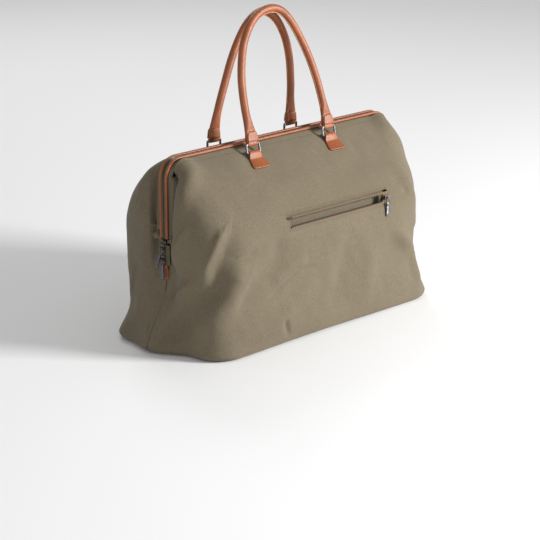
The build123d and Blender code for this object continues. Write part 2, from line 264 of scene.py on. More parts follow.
class Finish:
    """A Principled material under construction."""

    def __init__(self, name, colour, roughness, metallic=0.0, sheen=0.0, specular=0.5):
        self.material = bpy.data.materials.new(name)
        self.material.use_nodes = True
        self.tree = self.material.node_tree
        self.shader = self.tree.nodes["Principled BSDF"]
        self.set(Base_Color=(*colour, 1), Roughness=roughness, Metallic=metallic,
                 Sheen_Weight=sheen, Specular_IOR_Level=specular)
        self.colour = colour
        self.place = self.node("ShaderNodeTexCoord").outputs["Object"]

    def set(self, **sockets):
        for key, item in sockets.items():
            socket = self.shader.inputs[key.replace("_", " ")]
            if isinstance(item, Value):
                self.tree.links.new(item.socket, socket)
            elif isinstance(item, bpy.types.NodeSocket):
                self.tree.links.new(item, socket)
            else:
                socket.default_value = item

    def node(self, kind, settings=None, **sockets):
        node = self.tree.nodes.new(kind)
        for key, item in (settings or {}).items():
            setattr(node, key, item)
        for key, item in sockets.items():
            socket = node.inputs[key.replace("_", " ")]
            if isinstance(item, Value):
                item = item.socket
            if isinstance(item, bpy.types.NodeSocket):
                self.tree.links.new(item, socket)
            else:
                socket.default_value = item
        return node

    def noise(self, scale, detail=3.0, roughness=0.55, stretch=(1, 1, 1)):
        mapping = self.node("ShaderNodeMapping", Vector=self.place, Scale=stretch)
        texture = self.node("ShaderNodeTexNoise", Vector=mapping.outputs[0], Scale=scale,
                            Detail=detail, Roughness=roughness)
        return Value(self.tree, texture.outputs[0])

    def mix(self, factor, first, second):
        node = self.tree.nodes.new("ShaderNodeMix")
        node.data_type = "RGBA"
        for index, item in ((0, factor), (6, first), (7, second)):
            if isinstance(item, Value):
                item = item.socket
            if isinstance(item, bpy.types.NodeSocket):
                self.tree.links.new(item, node.inputs[index])
            else:
                node.inputs[index].default_value = (*item, 1) if index else item
        return node.outputs[2]

    def bump(self, height, strength, distance):
        node = self.node("ShaderNodeBump", Height=height, Strength=strength, Distance=distance)
        self.set(Normal=node.outputs[0])


def darker(colour, share):
    return tuple(c * share for c in colour)


print("shader helpers ready")

# %% [markdown]
# The canvas is a dense weave of cotton yarns, about eight to the centimetre each way, in a dull
# olive khaki. Two wave patterns at right angles, multiplied, give the over and under of the
# yarns without needing UVs. Slubs, the thicker bits of yarn, are noise stretched along each
# direction, and broad soft noise shifts the colour a little, as handling and washing do.

# %% Canvas
def weave(finish, yarn):
    """Height of a plain weave on object coordinates, 0 to 1."""
    heights = []
    split = finish.node("ShaderNodeSeparateXYZ", Vector=finish.place)
    for axis in (("X", "Z"), ("Y", "Z")):
        waves = [Value(finish.tree, split.outputs[a]).math("MULTIPLY", 2 * pi / yarn)
                 .math("SINE") for a in axis]
        heights.append(waves[0] * waves[1])
    return (heights[0] + heights[1]) * 0.25 + 0.5


def make_canvas(name, colour, strength=0.5, yarn=0.0012):
    finish = Finish(name, colour, 0.88, sheen=0.12, specular=0.22)
    finish.set(Sheen_Roughness=0.45)
    yarns = weave(finish, yarn)
    slubs = (finish.noise(420, 2, stretch=(0.1, 1, 1))
             + finish.noise(420, 2, stretch=(1, 1, 0.1))) - 1.0
    cloudy = finish.noise(7, 4) - 0.5
    speckle = finish.noise(560, 1) - 0.5
    shade = (yarns * 0.12 + slubs * 0.35 + cloudy * 0.6 + speckle * 1.7 + 0.44).clamped()
    finish.set(Base_Color=finish.mix(shade, darker(colour, 0.78), darker(colour, 1.2)))
    finish.bump(yarns + slubs * 0.6, strength, 0.0004)
    return finish.material


khaki = (0.146, 0.119, 0.079)
canvas = make_canvas("Khaki_Canvas", khaki)
lining_cloth = make_canvas("Lining_Cloth", (0.40, 0.34, 0.24), 0.25, 0.0008)
board_cloth = make_canvas("Base_Board_Cover", (0.33, 0.28, 0.19), 0.2, 0.0009)
print("canvas colour", khaki)

# %% [markdown]
# The leather is an orange tan with a fine pebbled grain. Voronoi cells give the grain, noise the
# slow change of colour where hands rub it. Cut edges are painted the same colour and look paler
# where they are worn, so a second finish, lighter and drier, goes on edges and folds. Its pale
# colour is also a painted highlight along the handles' seams.

# %% Leather
def make_leather(name, colour, roughness=0.4):
    finish = Finish(name, colour, roughness, specular=0.5)
    cells = finish.node("ShaderNodeTexVoronoi", {"feature": "DISTANCE_TO_EDGE"},
                        Vector=finish.place, Scale=800.0)
    grain = Value(finish.tree, cells.outputs[0]).math("MULTIPLY", 3.0, clamp=True)
    rubbed = finish.noise(24, 5)
    shade = (rubbed * 1.6 - 0.3 + (grain - 0.5) * 0.12).clamped()
    finish.set(Base_Color=finish.mix(shade, darker(colour, 0.62), darker(colour, 1.3)))
    finish.set(Roughness=rubbed * 0.25 + (roughness - 0.12))
    finish.bump(grain * 0.6 + finish.noise(140, 3) * 0.9, 0.4, 0.0005)
    return finish.material


tan = (0.265, 0.072, 0.018)
leather = make_leather("Tan_Leather", tan)
leather_dark = make_leather("Rolled_Tan_Leather", (0.27, 0.074, 0.020), 0.36)
# A paler edge finish: worn edge paint, and also a painted highlight along the handle seam.
worn_edge_and_highlight = make_leather("Worn_Leather_Edge_Highlight", (0.46, 0.165, 0.065), 0.6)
print("leather colour", tan)

# %% [markdown]
# Rings, sliders and pullers are cast and plated in a dark gunmetal, glossy enough to catch the
# light. The zip tape is a ribbed ribbon and the thread is a little lighter than what it sews.

# %% Metal, tape and thread
def make_metal(name, colour, roughness):
    finish = Finish(name, colour, roughness, metallic=1.0)
    wear = finish.noise(60, 5)
    finish.set(Roughness=wear * 0.25 + (roughness - 0.08))
    finish.bump(finish.noise(420, 2), 0.06, 0.0004)
    return finish.material


def make_ribbed(name, colour, pitch, axis, low=0.5, high=1.4):
    finish = Finish(name, colour, 0.85, specular=0.25)
    split = finish.node("ShaderNodeSeparateXYZ", Vector=finish.place)
    ribs = Value(finish.tree, split.outputs[axis]).math("MULTIPLY", 2 * pi / pitch).math("SINE")
    ribs = ribs * 0.5 + 0.5
    finish.set(Base_Color=finish.mix(ribs, darker(colour, low), darker(colour, high)))
    finish.bump(ribs + finish.noise(700, 2) * 0.3, 0.5, 0.0005)
    return finish.material


gunmetal = make_metal("Gunmetal", (0.17, 0.16, 0.17), 0.28)
tooth_metal = make_metal("Zip_Tooth_Metal", (0.12, 0.11, 0.105), 0.35)
tape_cloth = make_ribbed("Zip_Tape", (0.11, 0.10, 0.055), 0.0022, "Z")
slot_tape_cloth = make_ribbed("Slot_Zip_Tape", (0.17, 0.11, 0.06), 0.0042, "X", 0.35, 1.5)
canvas_thread = make_ribbed("Canvas_Thread", (0.13, 0.10, 0.065), 0.0006, "X")
leather_thread = make_ribbed("Leather_Thread", (0.30, 0.10, 0.045), 0.0006, "X")
print("metal, tape and thread ready")

# %% [markdown]
# The camera looks at the bag's long side from the left and a little above, from almost four
# metres away, so the perspective is gentle. The room is a plain white one with a large soft
# light before the front, so the left end is in soft shade. The room looks white, but gives less
# light than that, or the bag would have no shade at all.

# %% Camera, floor and lights
camera_data = bpy.data.cameras.new("Camera")
camera_data.sensor_width = 36
camera_data.lens = 128
camera = bpy.data.objects.new("Camera", camera_data)
camera.location = (-2.3033, -2.3637, 1.14)
camera.rotation_euler = (radians(72.2), 0, radians(-44))
bpy.context.scene.collection.objects.link(camera)
bpy.context.scene.camera = camera
bpy.context.scene.view_settings.view_transform = "Standard"

floor_finish = Finish("Floor", (0.88, 0.88, 0.88), 0.8)
floor = new_object("floor", [(-30, -30, 0), (30, -30, 0), (30, 30, 0), (-30, 30, 0)],
                   [(0, 1, 2, 3)], floor_finish.material, smooth=False)

world = bpy.data.worlds.new("Studio")
bpy.context.scene.world = world
world.use_nodes = True
backdrop = world.node_tree.nodes["Background"]
backdrop.inputs[0].default_value = (1, 1, 1, 1)
seen = Value(world.node_tree, world.node_tree.nodes.new("ShaderNodeLightPath").outputs[0])
world.node_tree.links.new((seen * 0.6 + 0.42).socket, backdrop.inputs[1])


def area_light(name, place, size, power):
    data = bpy.data.lights.new(name, "AREA")
    data.size = size
    data.energy = power
    light = bpy.data.objects.new(name, data)
    light.location = place
    light.rotation_euler = (Vector((0, 0, 0.2)) - Vector(place)).to_track_quat("-Z", "Y").to_euler()
    bpy.context.scene.collection.objects.link(light)


area_light("Key", (1.6, -2.6, 1.2), 0.8, 165)
area_light("Fill", (-2.6, -1.2, 0.6), 1.6, 14)
area_light("Rim", (1.2, 2.6, 2.4), 1.2, 25)
print("camera at", tuple(round(c, 3) for c in camera.location))

# %% [markdown]
# The canvas is the largest piece, and its shape follows a rule: a rounded plan stands on the
# base, narrows over a soft shoulder and ends at the two frames. So it is made as a grid of
# columns. Each column climbs from the base to the hinges' height, then over the shoulder to a
# point on the inverted U of the frame. The columns of the end panels end on the frame's leg,
# which is why the canvas folds there into a valley with a full lobe on each side.

# %% Sizes read from the frame
casing_low, casing_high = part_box("front_frame_casing")
piping_low, piping_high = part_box("front_piping")
frame_half = piping_high.x
frame_top = piping_high.z
frame_bend = 0.035
split_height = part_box("left_end_panel")[1].z + 0.002
edge_out = -(casing_low.y - 0.0005)
edge_in = 0.0085
edge_inset = 0.0075
slot_low, slot_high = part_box("slot_lower_tape")
slot_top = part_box("slot_upper_tape")[1].z
slot_x = (slot_low.x, slot_high.x)
slot_z = (slot_low.z, slot_top)
end_zip_low, end_zip_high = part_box("left_end_zip")
print("frame half length", frame_half, "top", frame_top, "slot", slot_x, slot_z)


def clamp01(t):
    return min(max(t, 0.0), 1.0)


def ease(t):
    t = clamp01(t)
    return t * t * (3 - 2 * t)


def blend_value(a, b, t):
    return a + (b - a) * t


# %% [markdown]
# Heavy canvas doesn't stand like a box. Each quarter of the plan has its own sizes: at the
# waist, and at the base, where the far left corner is pulled out to a point, the near one is
# round and the right ones spread a little.

# %% Plan of the body at a height
# For each end and side: length, depth and corner radius at the waist, the same at the base, and
# the height up to which the base's spread reaches.
quarters = {
    (-1, -1): ((0.280, 0.1345, 0.072), (0.276, 0.1370, 0.050), 0.080),
    (-1, 1): ((0.279, 0.1330, 0.076), (0.309, 0.1060, 0.024), 0.062),
    (1, -1): ((0.268, 0.1345, 0.086), (0.287, 0.1340, 0.052), 0.110),
    (1, 1): ((0.272, 0.1330, 0.080), (0.292, 0.1250, 0.045), 0.080),
}
middle_depth = {-1: 0.1345, 1: 0.1335}
valley_depth = 0.2662     # distance of the end zips' canvas from the middle
valley_half = 0.0155
valley_foot = 0.120
end_base = {-1: 0.314, 1: 0.303}
end_share = 0.235         # share of the columns that goes to each end


def quarter_sizes(end, side, z):
    waist, base, reach = quarters[(end, side)]
    low = (1 - clamp01(z / reach)) ** 1.5
    length, depth, radius = (blend_value(w, b, low) for w, b in zip(waist, base))
    seam = blend_value(end_base[end], valley_depth, ease(z / valley_foot))
    return length, depth, radius, seam


def end_outline(end, side, z, t):
    """A point of the end's plan: t = 0 at the middle seam, 1 where the long side starts."""
    length, depth, radius, seam = quarter_sizes(end, side, z)
    flat = depth - radius
    walk = t * (flat + radius * pi / 2)
    if walk < flat:
        y = walk
        valley = valley_half * ease((z - 0.06) / 0.06)
        x = blend_value(seam, length, ease((walk - valley) / (0.95 * flat - valley)))
    else:
        a = (walk - flat) / radius
        y = flat + radius * sin(a)
        x = length - radius + radius * cos(a)
    return end * x, side * max(y, edge_in * ease((z - 0.1) / 0.09))


def side_outline(side, z, t):
    """A point of the long side's plan, t from 0 at the left end to 1 at the right."""
    ends = []
    for end in (-1, 1):
        length, depth, radius, _ = quarter_sizes(end, side, z)
        ends.append((end * (length - radius), depth))
    x = blend_value(ends[0][0], ends[1][0], t)
    y = blend_value(ends[0][1], ends[1][1], t)
    y = blend_value(y, middle_depth[side], ease(min(t, 1 - t) / 0.28))
    return x, side * y


def plan_point(side, z, u):
    """u runs from 0 at the left seam to 1 at the right seam."""
    if u < end_share:
        return end_outline(-1, side, z, u / end_share)
    if u > 1 - end_share:
        return end_outline(1, side, z, (1 - u) / end_share)
    return side_outline(side, z, (u - end_share) / (1 - 2 * end_share))


print("plan corner", plan_point(-1, 0.1, end_share))

# %% [markdown]
# The upper edge is sewn to the frame's casing: up the leg, round the bend and along the top.
# Between the hinges and the frame each column is one Bezier curve, upright where it leaves the
# body and sloping like a tent roof where it reaches the frame.

# %% The frame's outline and the canvas up to it
def frame_point(side, u):
    """A point of the canvas's upper edge."""
    x_leg = frame_half - edge_inset
    z_top = frame_top - edge_inset
    leg = z_top - frame_bend - split_height
    if end_share <= u <= 1 - end_share:
        t = (u - end_share) / (1 - 2 * end_share)
        half = x_leg - frame_bend
        return Vector((blend_value(-half, half, t), side * edge_out, z_top))
    end = -1 if u < 0.5 else 1
    t = (u if end < 0 else 1 - u) / end_share
    walk = t * (leg + frame_bend * pi / 2)
    if walk < leg:
        return Vector((end * x_leg, side * edge_out, split_height + walk))
    a = (walk - leg) / frame_bend
    x = x_leg - frame_bend + frame_bend * cos(a)
    z = z_top - frame_bend + frame_bend * sin(a)
    return Vector((end * x, side * edge_out, z))


shoulder_rise = 0.045     # how far the canvas stays upright above the hinges
shoulder_height = 0.247
roof_share = 0.46         # how much of the roof keeps its straight slope


def upper_point(side, u, v):
    """A point of the canvas between the hinges' height (v = 0) and the frame (v = 1)."""
    x, y = plan_point(side, split_height, u)
    start = Vector((x, y, split_height))
    stop = frame_point(side, u)
    end = -1 if u < 0.5 else 1
    rise = min(shoulder_rise, 0.5 * (stop.z - start.z) + 0.002)
    second = start + Vector((0, 0, rise))
    third = stop + (Vector((x, y, min(shoulder_height, stop.z))) - stop) * roof_share
    if end < 0 < side:
        third += Vector((-0.010, 0.012, 0.012)) * ease(1 - (u - 0.5 * end_share) / 0.3)
    lobe = sin(pi * clamp01(min(u, 1 - u) / end_share))
    third += Vector((end * 0.010, side * 0.006, 0.002)) * lobe
    w = 1 - v
    return start * w ** 3 + second * (3 * w * w * v) + third * (3 * w * v * v) + stop * v ** 3


print("frame edge at the left leg's foot", tuple(round(c, 4) for c in frame_point(-1, 0)))

# %% [markdown]
# Folds start where something pulls: at the frame's corners, at the foot of the legs and at the
# corners of the base. Each is a ridge along a line, raised along the surface's own normal and
# faded at its ends. A fold isn't symmetrical: its upper side is steep and its lower side long,
# so the ridge's height falls faster on one side.

# %% Folds
# (points of its line, half width, height); a negative height is a crease.
folds = [
    # the near left corner, from the frame's corner down to the base
    (((-0.215, -0.134, 0.262), (-0.237, -0.128, 0.244), (-0.255, -0.116, 0.197),
      (-0.272, -0.095, 0.142)), 0.0080, 0.0070),
    (((-0.215, -0.134, 0.257), (-0.232, -0.130, 0.216), (-0.250, -0.120, 0.162),
      (-0.258, -0.114, 0.129), (-0.278, -0.084, 0.105), (-0.288, -0.031, 0.046),
      (-0.302, 0.004, 0.008)), 0.0180, -0.0120),
    (((-0.205, -0.134, 0.180), (-0.215, -0.134, 0.158), (-0.244, -0.125, 0.107),
      (-0.265, -0.107, 0.073), (-0.280, -0.085, 0.040)), 0.0200, 0.0085),
    (((-0.232, -0.130, 0.152), (-0.205, -0.134, 0.150), (-0.180, -0.134, 0.160)), 0.0050, 0.0030),
    (((-0.235, -0.128, 0.190), (-0.205, -0.134, 0.185), (-0.175, -0.134, 0.192)), 0.0070, -0.0030),
    # the front
    (((-0.115, -0.134, 0.203), (-0.139, -0.134, 0.158), (-0.181, -0.134, 0.131),
      (-0.216, -0.134, 0.094), (-0.236, -0.129, 0.060)), 0.0180, -0.0065),
    (((-0.165, -0.134, 0.088), (-0.134, -0.134, 0.107), (-0.088, -0.134, 0.129),
      (-0.030, -0.134, 0.127)), 0.0040, -0.0025),
    (((-0.150, -0.134, 0.120), (-0.110, -0.134, 0.140), (-0.060, -0.134, 0.150)), 0.0160, 0.0040),
    (((-0.112, -0.134, 0.055), (-0.100, -0.134, 0.012)), 0.0050, -0.0050),
    (((-0.030, -0.134, 0.110), (-0.120, -0.134, 0.050), (-0.190, -0.134, 0.020)), 0.0200, 0.0040),
    (((0.050, -0.134, 0.170), (0.020, -0.134, 0.090), (0.000, -0.134, 0.030)), 0.0220, -0.0045),
    (((0.110, -0.134, 0.150), (0.090, -0.134, 0.080), (0.095, -0.134, 0.020)), 0.0200, 0.0040),
    # the right front corner
    (((0.154, -0.134, 0.162), (0.215, -0.134, 0.108), (0.249, -0.130, 0.017)), 0.0110, 0.0090),
    (((0.172, -0.112, 0.266), (0.189, -0.134, 0.239), (0.206, -0.134, 0.214)), 0.0070, -0.0070),
    (((0.205, -0.118, 0.262), (0.222, -0.130, 0.190), (0.240, -0.126, 0.110)), 0.0130, 0.0050),
    (((0.230, -0.130, 0.150), (0.262, -0.108, 0.040)), 0.0110, -0.0060),
    # the left end
    (((-0.272, 0.050, 0.118), (-0.286, 0.040, 0.092), (-0.314, -0.021, 0.002)), 0.0040, -0.0055),
    (((-0.275, -0.072, 0.239), (-0.275, -0.020, 0.150)), 0.0120, 0.0090),
    (((-0.279, -0.074, 0.144), (-0.284, -0.018, 0.097)), 0.0065, 0.0070),
    (((-0.275, 0.050, 0.090), (-0.276, -0.004, 0.105), (-0.275, -0.034, 0.116)), 0.0050, -0.0060),
    (((-0.268, 0.022, 0.150), (-0.285, 0.050, 0.080), (-0.300, 0.062, 0.030)), 0.0120, 0.0070),
    (((-0.272, 0.062, 0.150), (-0.290, 0.090, 0.040)), 0.0110, -0.0070),
    # the right end and the back
    (((0.268, 0.010, 0.118), (0.303, 0.016, 0.002)), 0.0040, -0.0050),
    (((0.270, -0.030, 0.150), (0.285, -0.080, 0.040)), 0.0130, 0.0060),
    (((0.270, 0.050, 0.150), (0.290, 0.080, 0.030)), 0.0120, -0.0070),
    (((-0.180, 0.133, 0.225), (-0.225, 0.133, 0.120), (-0.250, 0.120, 0.040)), 0.0200, 0.0080),
    (((-0.080, 0.133, 0.200), (-0.120, 0.133, 0.110), (-0.150, 0.133, 0.030)), 0.0180, -0.0080),
    (((0.000, 0.133, 0.150), (-0.050, 0.133, 0.015)), 0.0180, 0.0070),
    (((0.200, 0.133, 0.225), (0.235, 0.130, 0.130), (0.255, 0.118, 0.040)), 0.0190, 0.0080),
    (((0.090, 0.133, 0.180), (0.120, 0.133, 0.090), (0.150, 0.133, 0.020)), 0.0190, -0.0075),
]
leg_edge = frame_half - edge_inset
valley_sink = 0.014
lobe_front = 0.009
lobe_back = 0.003


def leg_valley(p):
    """Beside each leg of the frame the cloth sinks, then stands out again in a lobe."""
    nearest_z = min(max(p.z, 0.15), frame_top - 0.037)
    gap = Vector((abs(p.x) - leg_edge, abs(p.y) - edge_out, p.z - nearest_z)).length
    sunk = valley_sink * exp(-((gap - 0.011) / 0.0045) ** 2)
    lobe = (lobe_front if p.y < 0 else lobe_back) * exp(-((gap - 0.034) / 0.016) ** 2)
    return (lobe - sunk) * ease((p.z - 0.13) / 0.06)


def ease_all(values):
    values = np.clip(values, 0, 1)
    return values * values * (3 - 2 * values)


def fold_heights(points):
    """The height of all folds together at many points."""
    total = np.zeros(len(points))
    for line, width, height in folds:
        line = np.array(line)
        lengths = np.linalg.norm(np.diff(line, axis=0), axis=1)
        nearest_gap = np.full(len(points), 9.0)
        share = np.zeros(len(points))
        above = np.zeros(len(points))
        for k, (a, b, length) in enumerate(zip(line, line[1:], lengths)):
            t = np.clip((points - a) @ (b - a) / length ** 2, 0, 1)
            away = points - a - t[:, None] * (b - a)
            gap = np.linalg.norm(away, axis=1)
            closer = gap < nearest_gap
            nearest_gap = np.where(closer, gap, nearest_gap)
            share = np.where(closer, (lengths[:k].sum() + t * length) / lengths.sum(), share)
            above = np.where(closer, away[:, 2], above)
        gap = nearest_gap / (width * np.where(above < 0, 1.4, 0.85))
        fade = ease_all(share / 0.3 + 0.15) * ease_all((1 - share) / 0.3 + 0.15)
        total += height * np.exp(-gap * gap) * fade
    return total


def drift(p):
    """A small wandering, so that no fold runs quite straight."""
    return Vector((noise.noise(p * 9), noise.noise(p * 9 + Vector((5, 5, 5))),
                   noise.noise(p * 9 + Vector((9, 2, 4))))) * 0.010


def crumple(q):
    """The broad and the fine unevenness of handled canvas."""
    broad = noise.noise(q * 8) * 0.0040 + noise.noise(q * 19 + Vector((3, 1, 7))) * 0.0018
    slanted = Vector((q.x + 0.5 * q.z, q.y, q.z * 0.4))
    return broad + noise.noise(slanted * 42) * 0.0008 + noise.noise(slanted * 95) * 0.0002


print("folds", len(folds))

# %% [markdown]
# The trolley slot is a real opening, so the grid gets a row and a column exactly on each of its
# edges, and the faces between them are left out. Round the slot, under the leather tabs, at the
# frames and at the base the cloth is held, so the folds fade out there.

# %% Columns and rows
def spaced(stops, pitch):
    """Values from the first stop to the last, even between stops, none wider than pitch."""
    values = [stops[0]]
    for a, b in zip(stops, stops[1:]):
        count = max(1, round((b - a) / pitch))
        values += [a + (b - a) * (k + 1) / count for k in range(count)]
    return values


def search(low, high, below):
    """The value between low and high where below() turns false."""
    for _ in range(40):
        middle = (low + high) / 2
        low, high = (middle, high) if below(middle) else (low, middle)
    return low


slot_v = [search(0, 0.6, lambda v: upper_point(-1, 0.5, v).z < z) for z in slot_z]
slot_u = [search(end_share, 1 - end_share, lambda u: upper_point(-1, u, slot_v[0]).x < x)
          for x in slot_x]
columns = spaced([0, end_share, *slot_u, 1 - end_share, 1], 0.0038)
upper_rows = spaced([0, *slot_v, 1], 0.020)
lower_rows = spaced([0.012, split_height], 0.0042)
split_row = len(lower_rows) - 1
tab_boxes = [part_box(f"{side}_{end}_tab") for side in ("front", "back")
             for end in ("left", "right")]
print("columns", len(columns), "upper rows", len(upper_rows), "lower rows", len(lower_rows))


def outside_box(p, low, high, axes):
    """How far a point is outside a box, measured along some axes only."""
    return sqrt(sum(max(low[a] - p[a], p[a] - high[a], 0) ** 2 for a in axes))


def held(p, side):
    """0 where the cloth is held flat, 1 where it is free."""
    free = ease((p.z - 0.004) / 0.03)
    if side < 0:
        low = (slot_x[0], 0, slot_z[0])
        high = (slot_x[1], 0, slot_z[1])
        free *= 0.05 + 0.95 * ease(outside_box(p, low, high, (0, 2)) / 0.045)
    for low, high in tab_boxes:
        if low.y * side > 0:
            free *= ease(outside_box(p, low, high, (0, 1)) / 0.03)
    if p.z < 0.2 and abs(p.y) < 0.05:
        free *= ease((abs(p.y) - 0.012) / 0.014 + 1 - clamp01((p.z - 0.08) / 0.05))
    return free


def row_normals(grid, side):
    """An outward normal for every grid point, from its neighbours."""
    across = np.gradient(grid, axis=1)
    up = np.gradient(grid, axis=0)
    normals = np.cross(across, up) * -side
    length = np.linalg.norm(normals, axis=2, keepdims=True)
    return normals / np.maximum(length, 1e-12)


def plain_half(side):
    """One half of the canvas before any fold, and how free each point is to move."""
    rows = [[Vector((*plan_point(side, z, u), z)) for u in columns] for z in lower_rows[:-1]]
    rows += [[upper_point(side, u, v) for u in columns] for v in upper_rows]
    free = np.zeros((len(rows), len(columns)))
    for i, row in enumerate(rows):
        to_frame = ease((len(rows) - 1 - i) / 8)
        for j, p in enumerate(row):
            to_seam = ease(min(j, len(row) - 1 - j) / 6 + 0.1)
            free[i, j] = held(p, side) * to_frame * to_seam
    return np.array([[tuple(p) for p in row] for row in rows]), free


def folded_half(side):
    grid, free = plain_half(side)
    normals = row_normals(grid, side)
    places = [Vector(p) for p in grid.reshape(-1, 3)]
    moved = [p + drift(p) for p in places]
    height = fold_heights(np.array([tuple(p) for p in moved]))
    height += np.array([crumple(p) for p in moved])
    height = height * free.reshape(-1) + np.array([leg_valley(p) for p in places])
    return grid + normals * height.reshape(free.shape)[:, :, None], free


halves = {side: folded_half(side) for side in (-1, 1)}
print("grid", halves[-1][0].shape, "split at row", split_row)

# %% [markdown]
# The ridges alone would look carved. A short cloth simulation lets the sheet settle over them:
# the cloth is set slightly longer than the space it has, so it buckles into the small irregular
# waves that real canvas has, while its held points stay pinned. The movement is capped, and the
# result goes back into the same grid, so no Cloth modifier is left.

# %% Let the canvas settle
settle_growth = 0.022     # how much longer the cloth is than its space
settle_cap = 0.009        # the most that any point moves
settle_frames = 20


def settle_cloth():
    rows, count = halves[-1][0].shape[:2]
    points = np.concatenate([halves[side][0].reshape(-1, 3) for side in (-1, 1)])
    free = np.concatenate([halves[side][1].reshape(-1) for side in (-1, 1)])
    faces = grid_faces(rows, count)
    faces += [tuple(k + rows * count for k in face[::-1]) for face in faces]
    obj = new_object("settling_cloth", points, faces)
    group = obj.vertex_groups.new(name="held")
    for index, value in enumerate(free):
        group.add([index], float(1 - min(value * 1.6, 1.0)), "REPLACE")
    cloth = obj.modifiers.new("Cloth", "CLOTH")
    settings = cloth.settings
    settings.quality = 5
    settings.mass = 0.35
    settings.tension_stiffness = 12
    settings.compression_stiffness = 12
    settings.shear_stiffness = 6
    settings.bending_stiffness = 3.0
    settings.air_damping = 2.0
    settings.vertex_group_mass = "held"
    settings.pin_stiffness = 1.0
    settings.shrink_min = -settle_growth
    settings.shrink_max = -settle_growth
    settings.use_pressure = True
    settings.uniform_pressure_force = 0.35
    settings.effector_weights.gravity = 0.25
    cloth.collision_settings.use_collision = False
    cloth.point_cache.frame_start = 1
    cloth.point_cache.frame_end = settle_frames
    for step in range(1, settle_frames + 1):
        bpy.context.scene.frame_set(step)
    settled = obj.evaluated_get(bpy.context.evaluated_depsgraph_get()).data
    moved = np.array([tuple(v.co) for v in settled.vertices]) - points
    length = np.linalg.norm(moved, axis=1, keepdims=True)
    moved *= np.minimum(1, settle_cap / np.maximum(length, 1e-9))
    moved *= np.minimum(free * 1.6, 1.0)[:, None]
    bpy.data.objects.remove(obj)
    bpy.context.scene.frame_set(1)
    for number, side in enumerate((-1, 1)):
        grid, held_map = halves[side]
        part = moved[number * rows * count:(number + 1) * rows * count]
        halves[side] = (grid + part.reshape(rows, count, 3), held_map)
    print("settled: most", round(float(length.max()), 4), "mean", round(float(length.mean()), 4))


settle_cloth()
shells = {side: (grid, row_normals(grid, side)) for side, (grid, _) in halves.items()}

# %% [markdown]
# Cloth has two faces. Each piece of canvas is built as an outer sheet, an inner sheet one
# thickness behind it, and a rim that closes the two, so it is a solid thing with real cut edges.
# The lower body and the two upper halves are made as separate pieces. The
# normals of the whole half are given to each part, so no line shows where they meet.

# %% Upper canvas
canvas_thick = 0.0022


def thick_sheet(name, grid, normals, material, thickness=canvas_thick, hole=None, flip=False):
    """A grid as a closed sheet. hole is (first row, last row, first column, last column).
    flip turns the faces, for a grid whose columns run the other way round."""
    rows, count = grid.shape[:2]
    outer = grid.reshape(-1, 3)
    inner = (grid - normals * thickness).reshape(-1, 3)
    total = rows * count
    faces = []
    for face in grid_faces(rows, count):
        i, j = divmod(face[0], count)
        if not (hole and hole[0] <= i < hole[1] and hole[2] <= j < hole[3]):
            faces.append(face[::-1] if flip else face)
    directed = {(face[k], face[(k + 1) % 4]) for face in faces for k in range(4)}
    faces += [tuple(total + k for k in face[::-1]) for face in faces]
    for a, b in sorted(edge for edge in directed if (edge[1], edge[0]) not in directed):
        faces.append((b, a, total + a, total + b))
    used = sorted({k for face in faces for k in face})
    place = {k: n for n, k in enumerate(used)}
    both = np.concatenate([outer, inner])[used]
    obj = new_object(name, both, [tuple(place[k] for k in face) for face in faces], material)
    custom = np.concatenate([normals.reshape(-1, 3), -normals.reshape(-1, 3)])[used]
    obj.data.normals_split_custom_set_from_vertices([tuple(n) for n in custom])
    return obj


def nearest(values, target):
    return min(range(len(values)), key=lambda k: abs(values[k] - target))


slot_hole = (*(nearest(upper_rows, v) for v in slot_v), *(nearest(columns, u) for u in slot_u))
side_names = {-1: "front", 1: "back"}
for side, side_name in side_names.items():
    grid, normals = shells[side]
    piece = thick_sheet(f"{side_name}_upper_canvas", grid[split_row:], normals[split_row:],
                        canvas, hole=slot_hole if side < 0 else None, flip=side > 0)
    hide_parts(f"{side_name}_upper_panel")
    side * 0.134
    side * 0.060
    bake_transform(piece)
    print(piece.name, len(piece.data.polygons), "faces")

# %% [markdown]
# The lower body is one closed bowl: the front half's rows continue round the back half. Its
# lowest rows roll under the base to the seam of the bottom panel, which is sewn a little way in.

# %% Lower canvas
def lower_ring(i):
    """One closed row: the front from left to right, then the back from right to left."""
    front, front_n = (part[i] for part in shells[-1])
    back, back_n = (part[i] for part in shells[1])
    ring = np.concatenate([front, back[::-1][1:-1]])
    normals = np.concatenate([front_n, back_n[::-1][1:-1]])
    return np.concatenate([ring, ring[:1]]), np.concatenate([normals, normals[:1]])


def make_lower_grid():
    base = lower_ring(0)[0]
    centre = base[:-1, :2].mean(axis=0)
    inwards = centre - base[:, :2]
    inwards /= np.linalg.norm(inwards, axis=1, keepdims=True)
    rings = []
    for inset, z in ((0.030, 0.0024), (0.014, 0.0022), (0.007, 0.0026), (0.003, 0.0050),
                     (0.0008, 0.008)):
        ring = base.copy()
        ring[:, :2] += inwards * inset
        ring[:, 2] = z
        rings.append(ring)
    rolled = len(rings)
    rings += [lower_ring(i)[0] for i in range(split_row + 1)]
    grid = np.array(rings)
    normals = row_normals(grid, -1)
    seam = normals[:, 0] + normals[:, -1]
    seam /= np.linalg.norm(seam, axis=1, keepdims=True)
    normals[:, 0] = seam
    normals[:, -1] = seam
    for i in range(split_row - 2, split_row + 1):
        normals[rolled + i] = lower_ring(i)[1]
    return grid, normals


lower_grid, lower_normals = make_lower_grid()
lower = thick_sheet("lower_canvas", lower_grid, lower_normals, canvas)
merge_close(lower, 0.00002)
dress(lower, "canvas", "bag", "front_panel", "back_panel", "left_end_panel", "right_end_panel")
print("lower canvas", len(lower.data.polygons), "faces")

# %% [markdown]
# The bottom panel closes the bowl. It is cut a little larger than the opening, so its edge laps
# under the rolled canvas, and it rests flat on the floor.

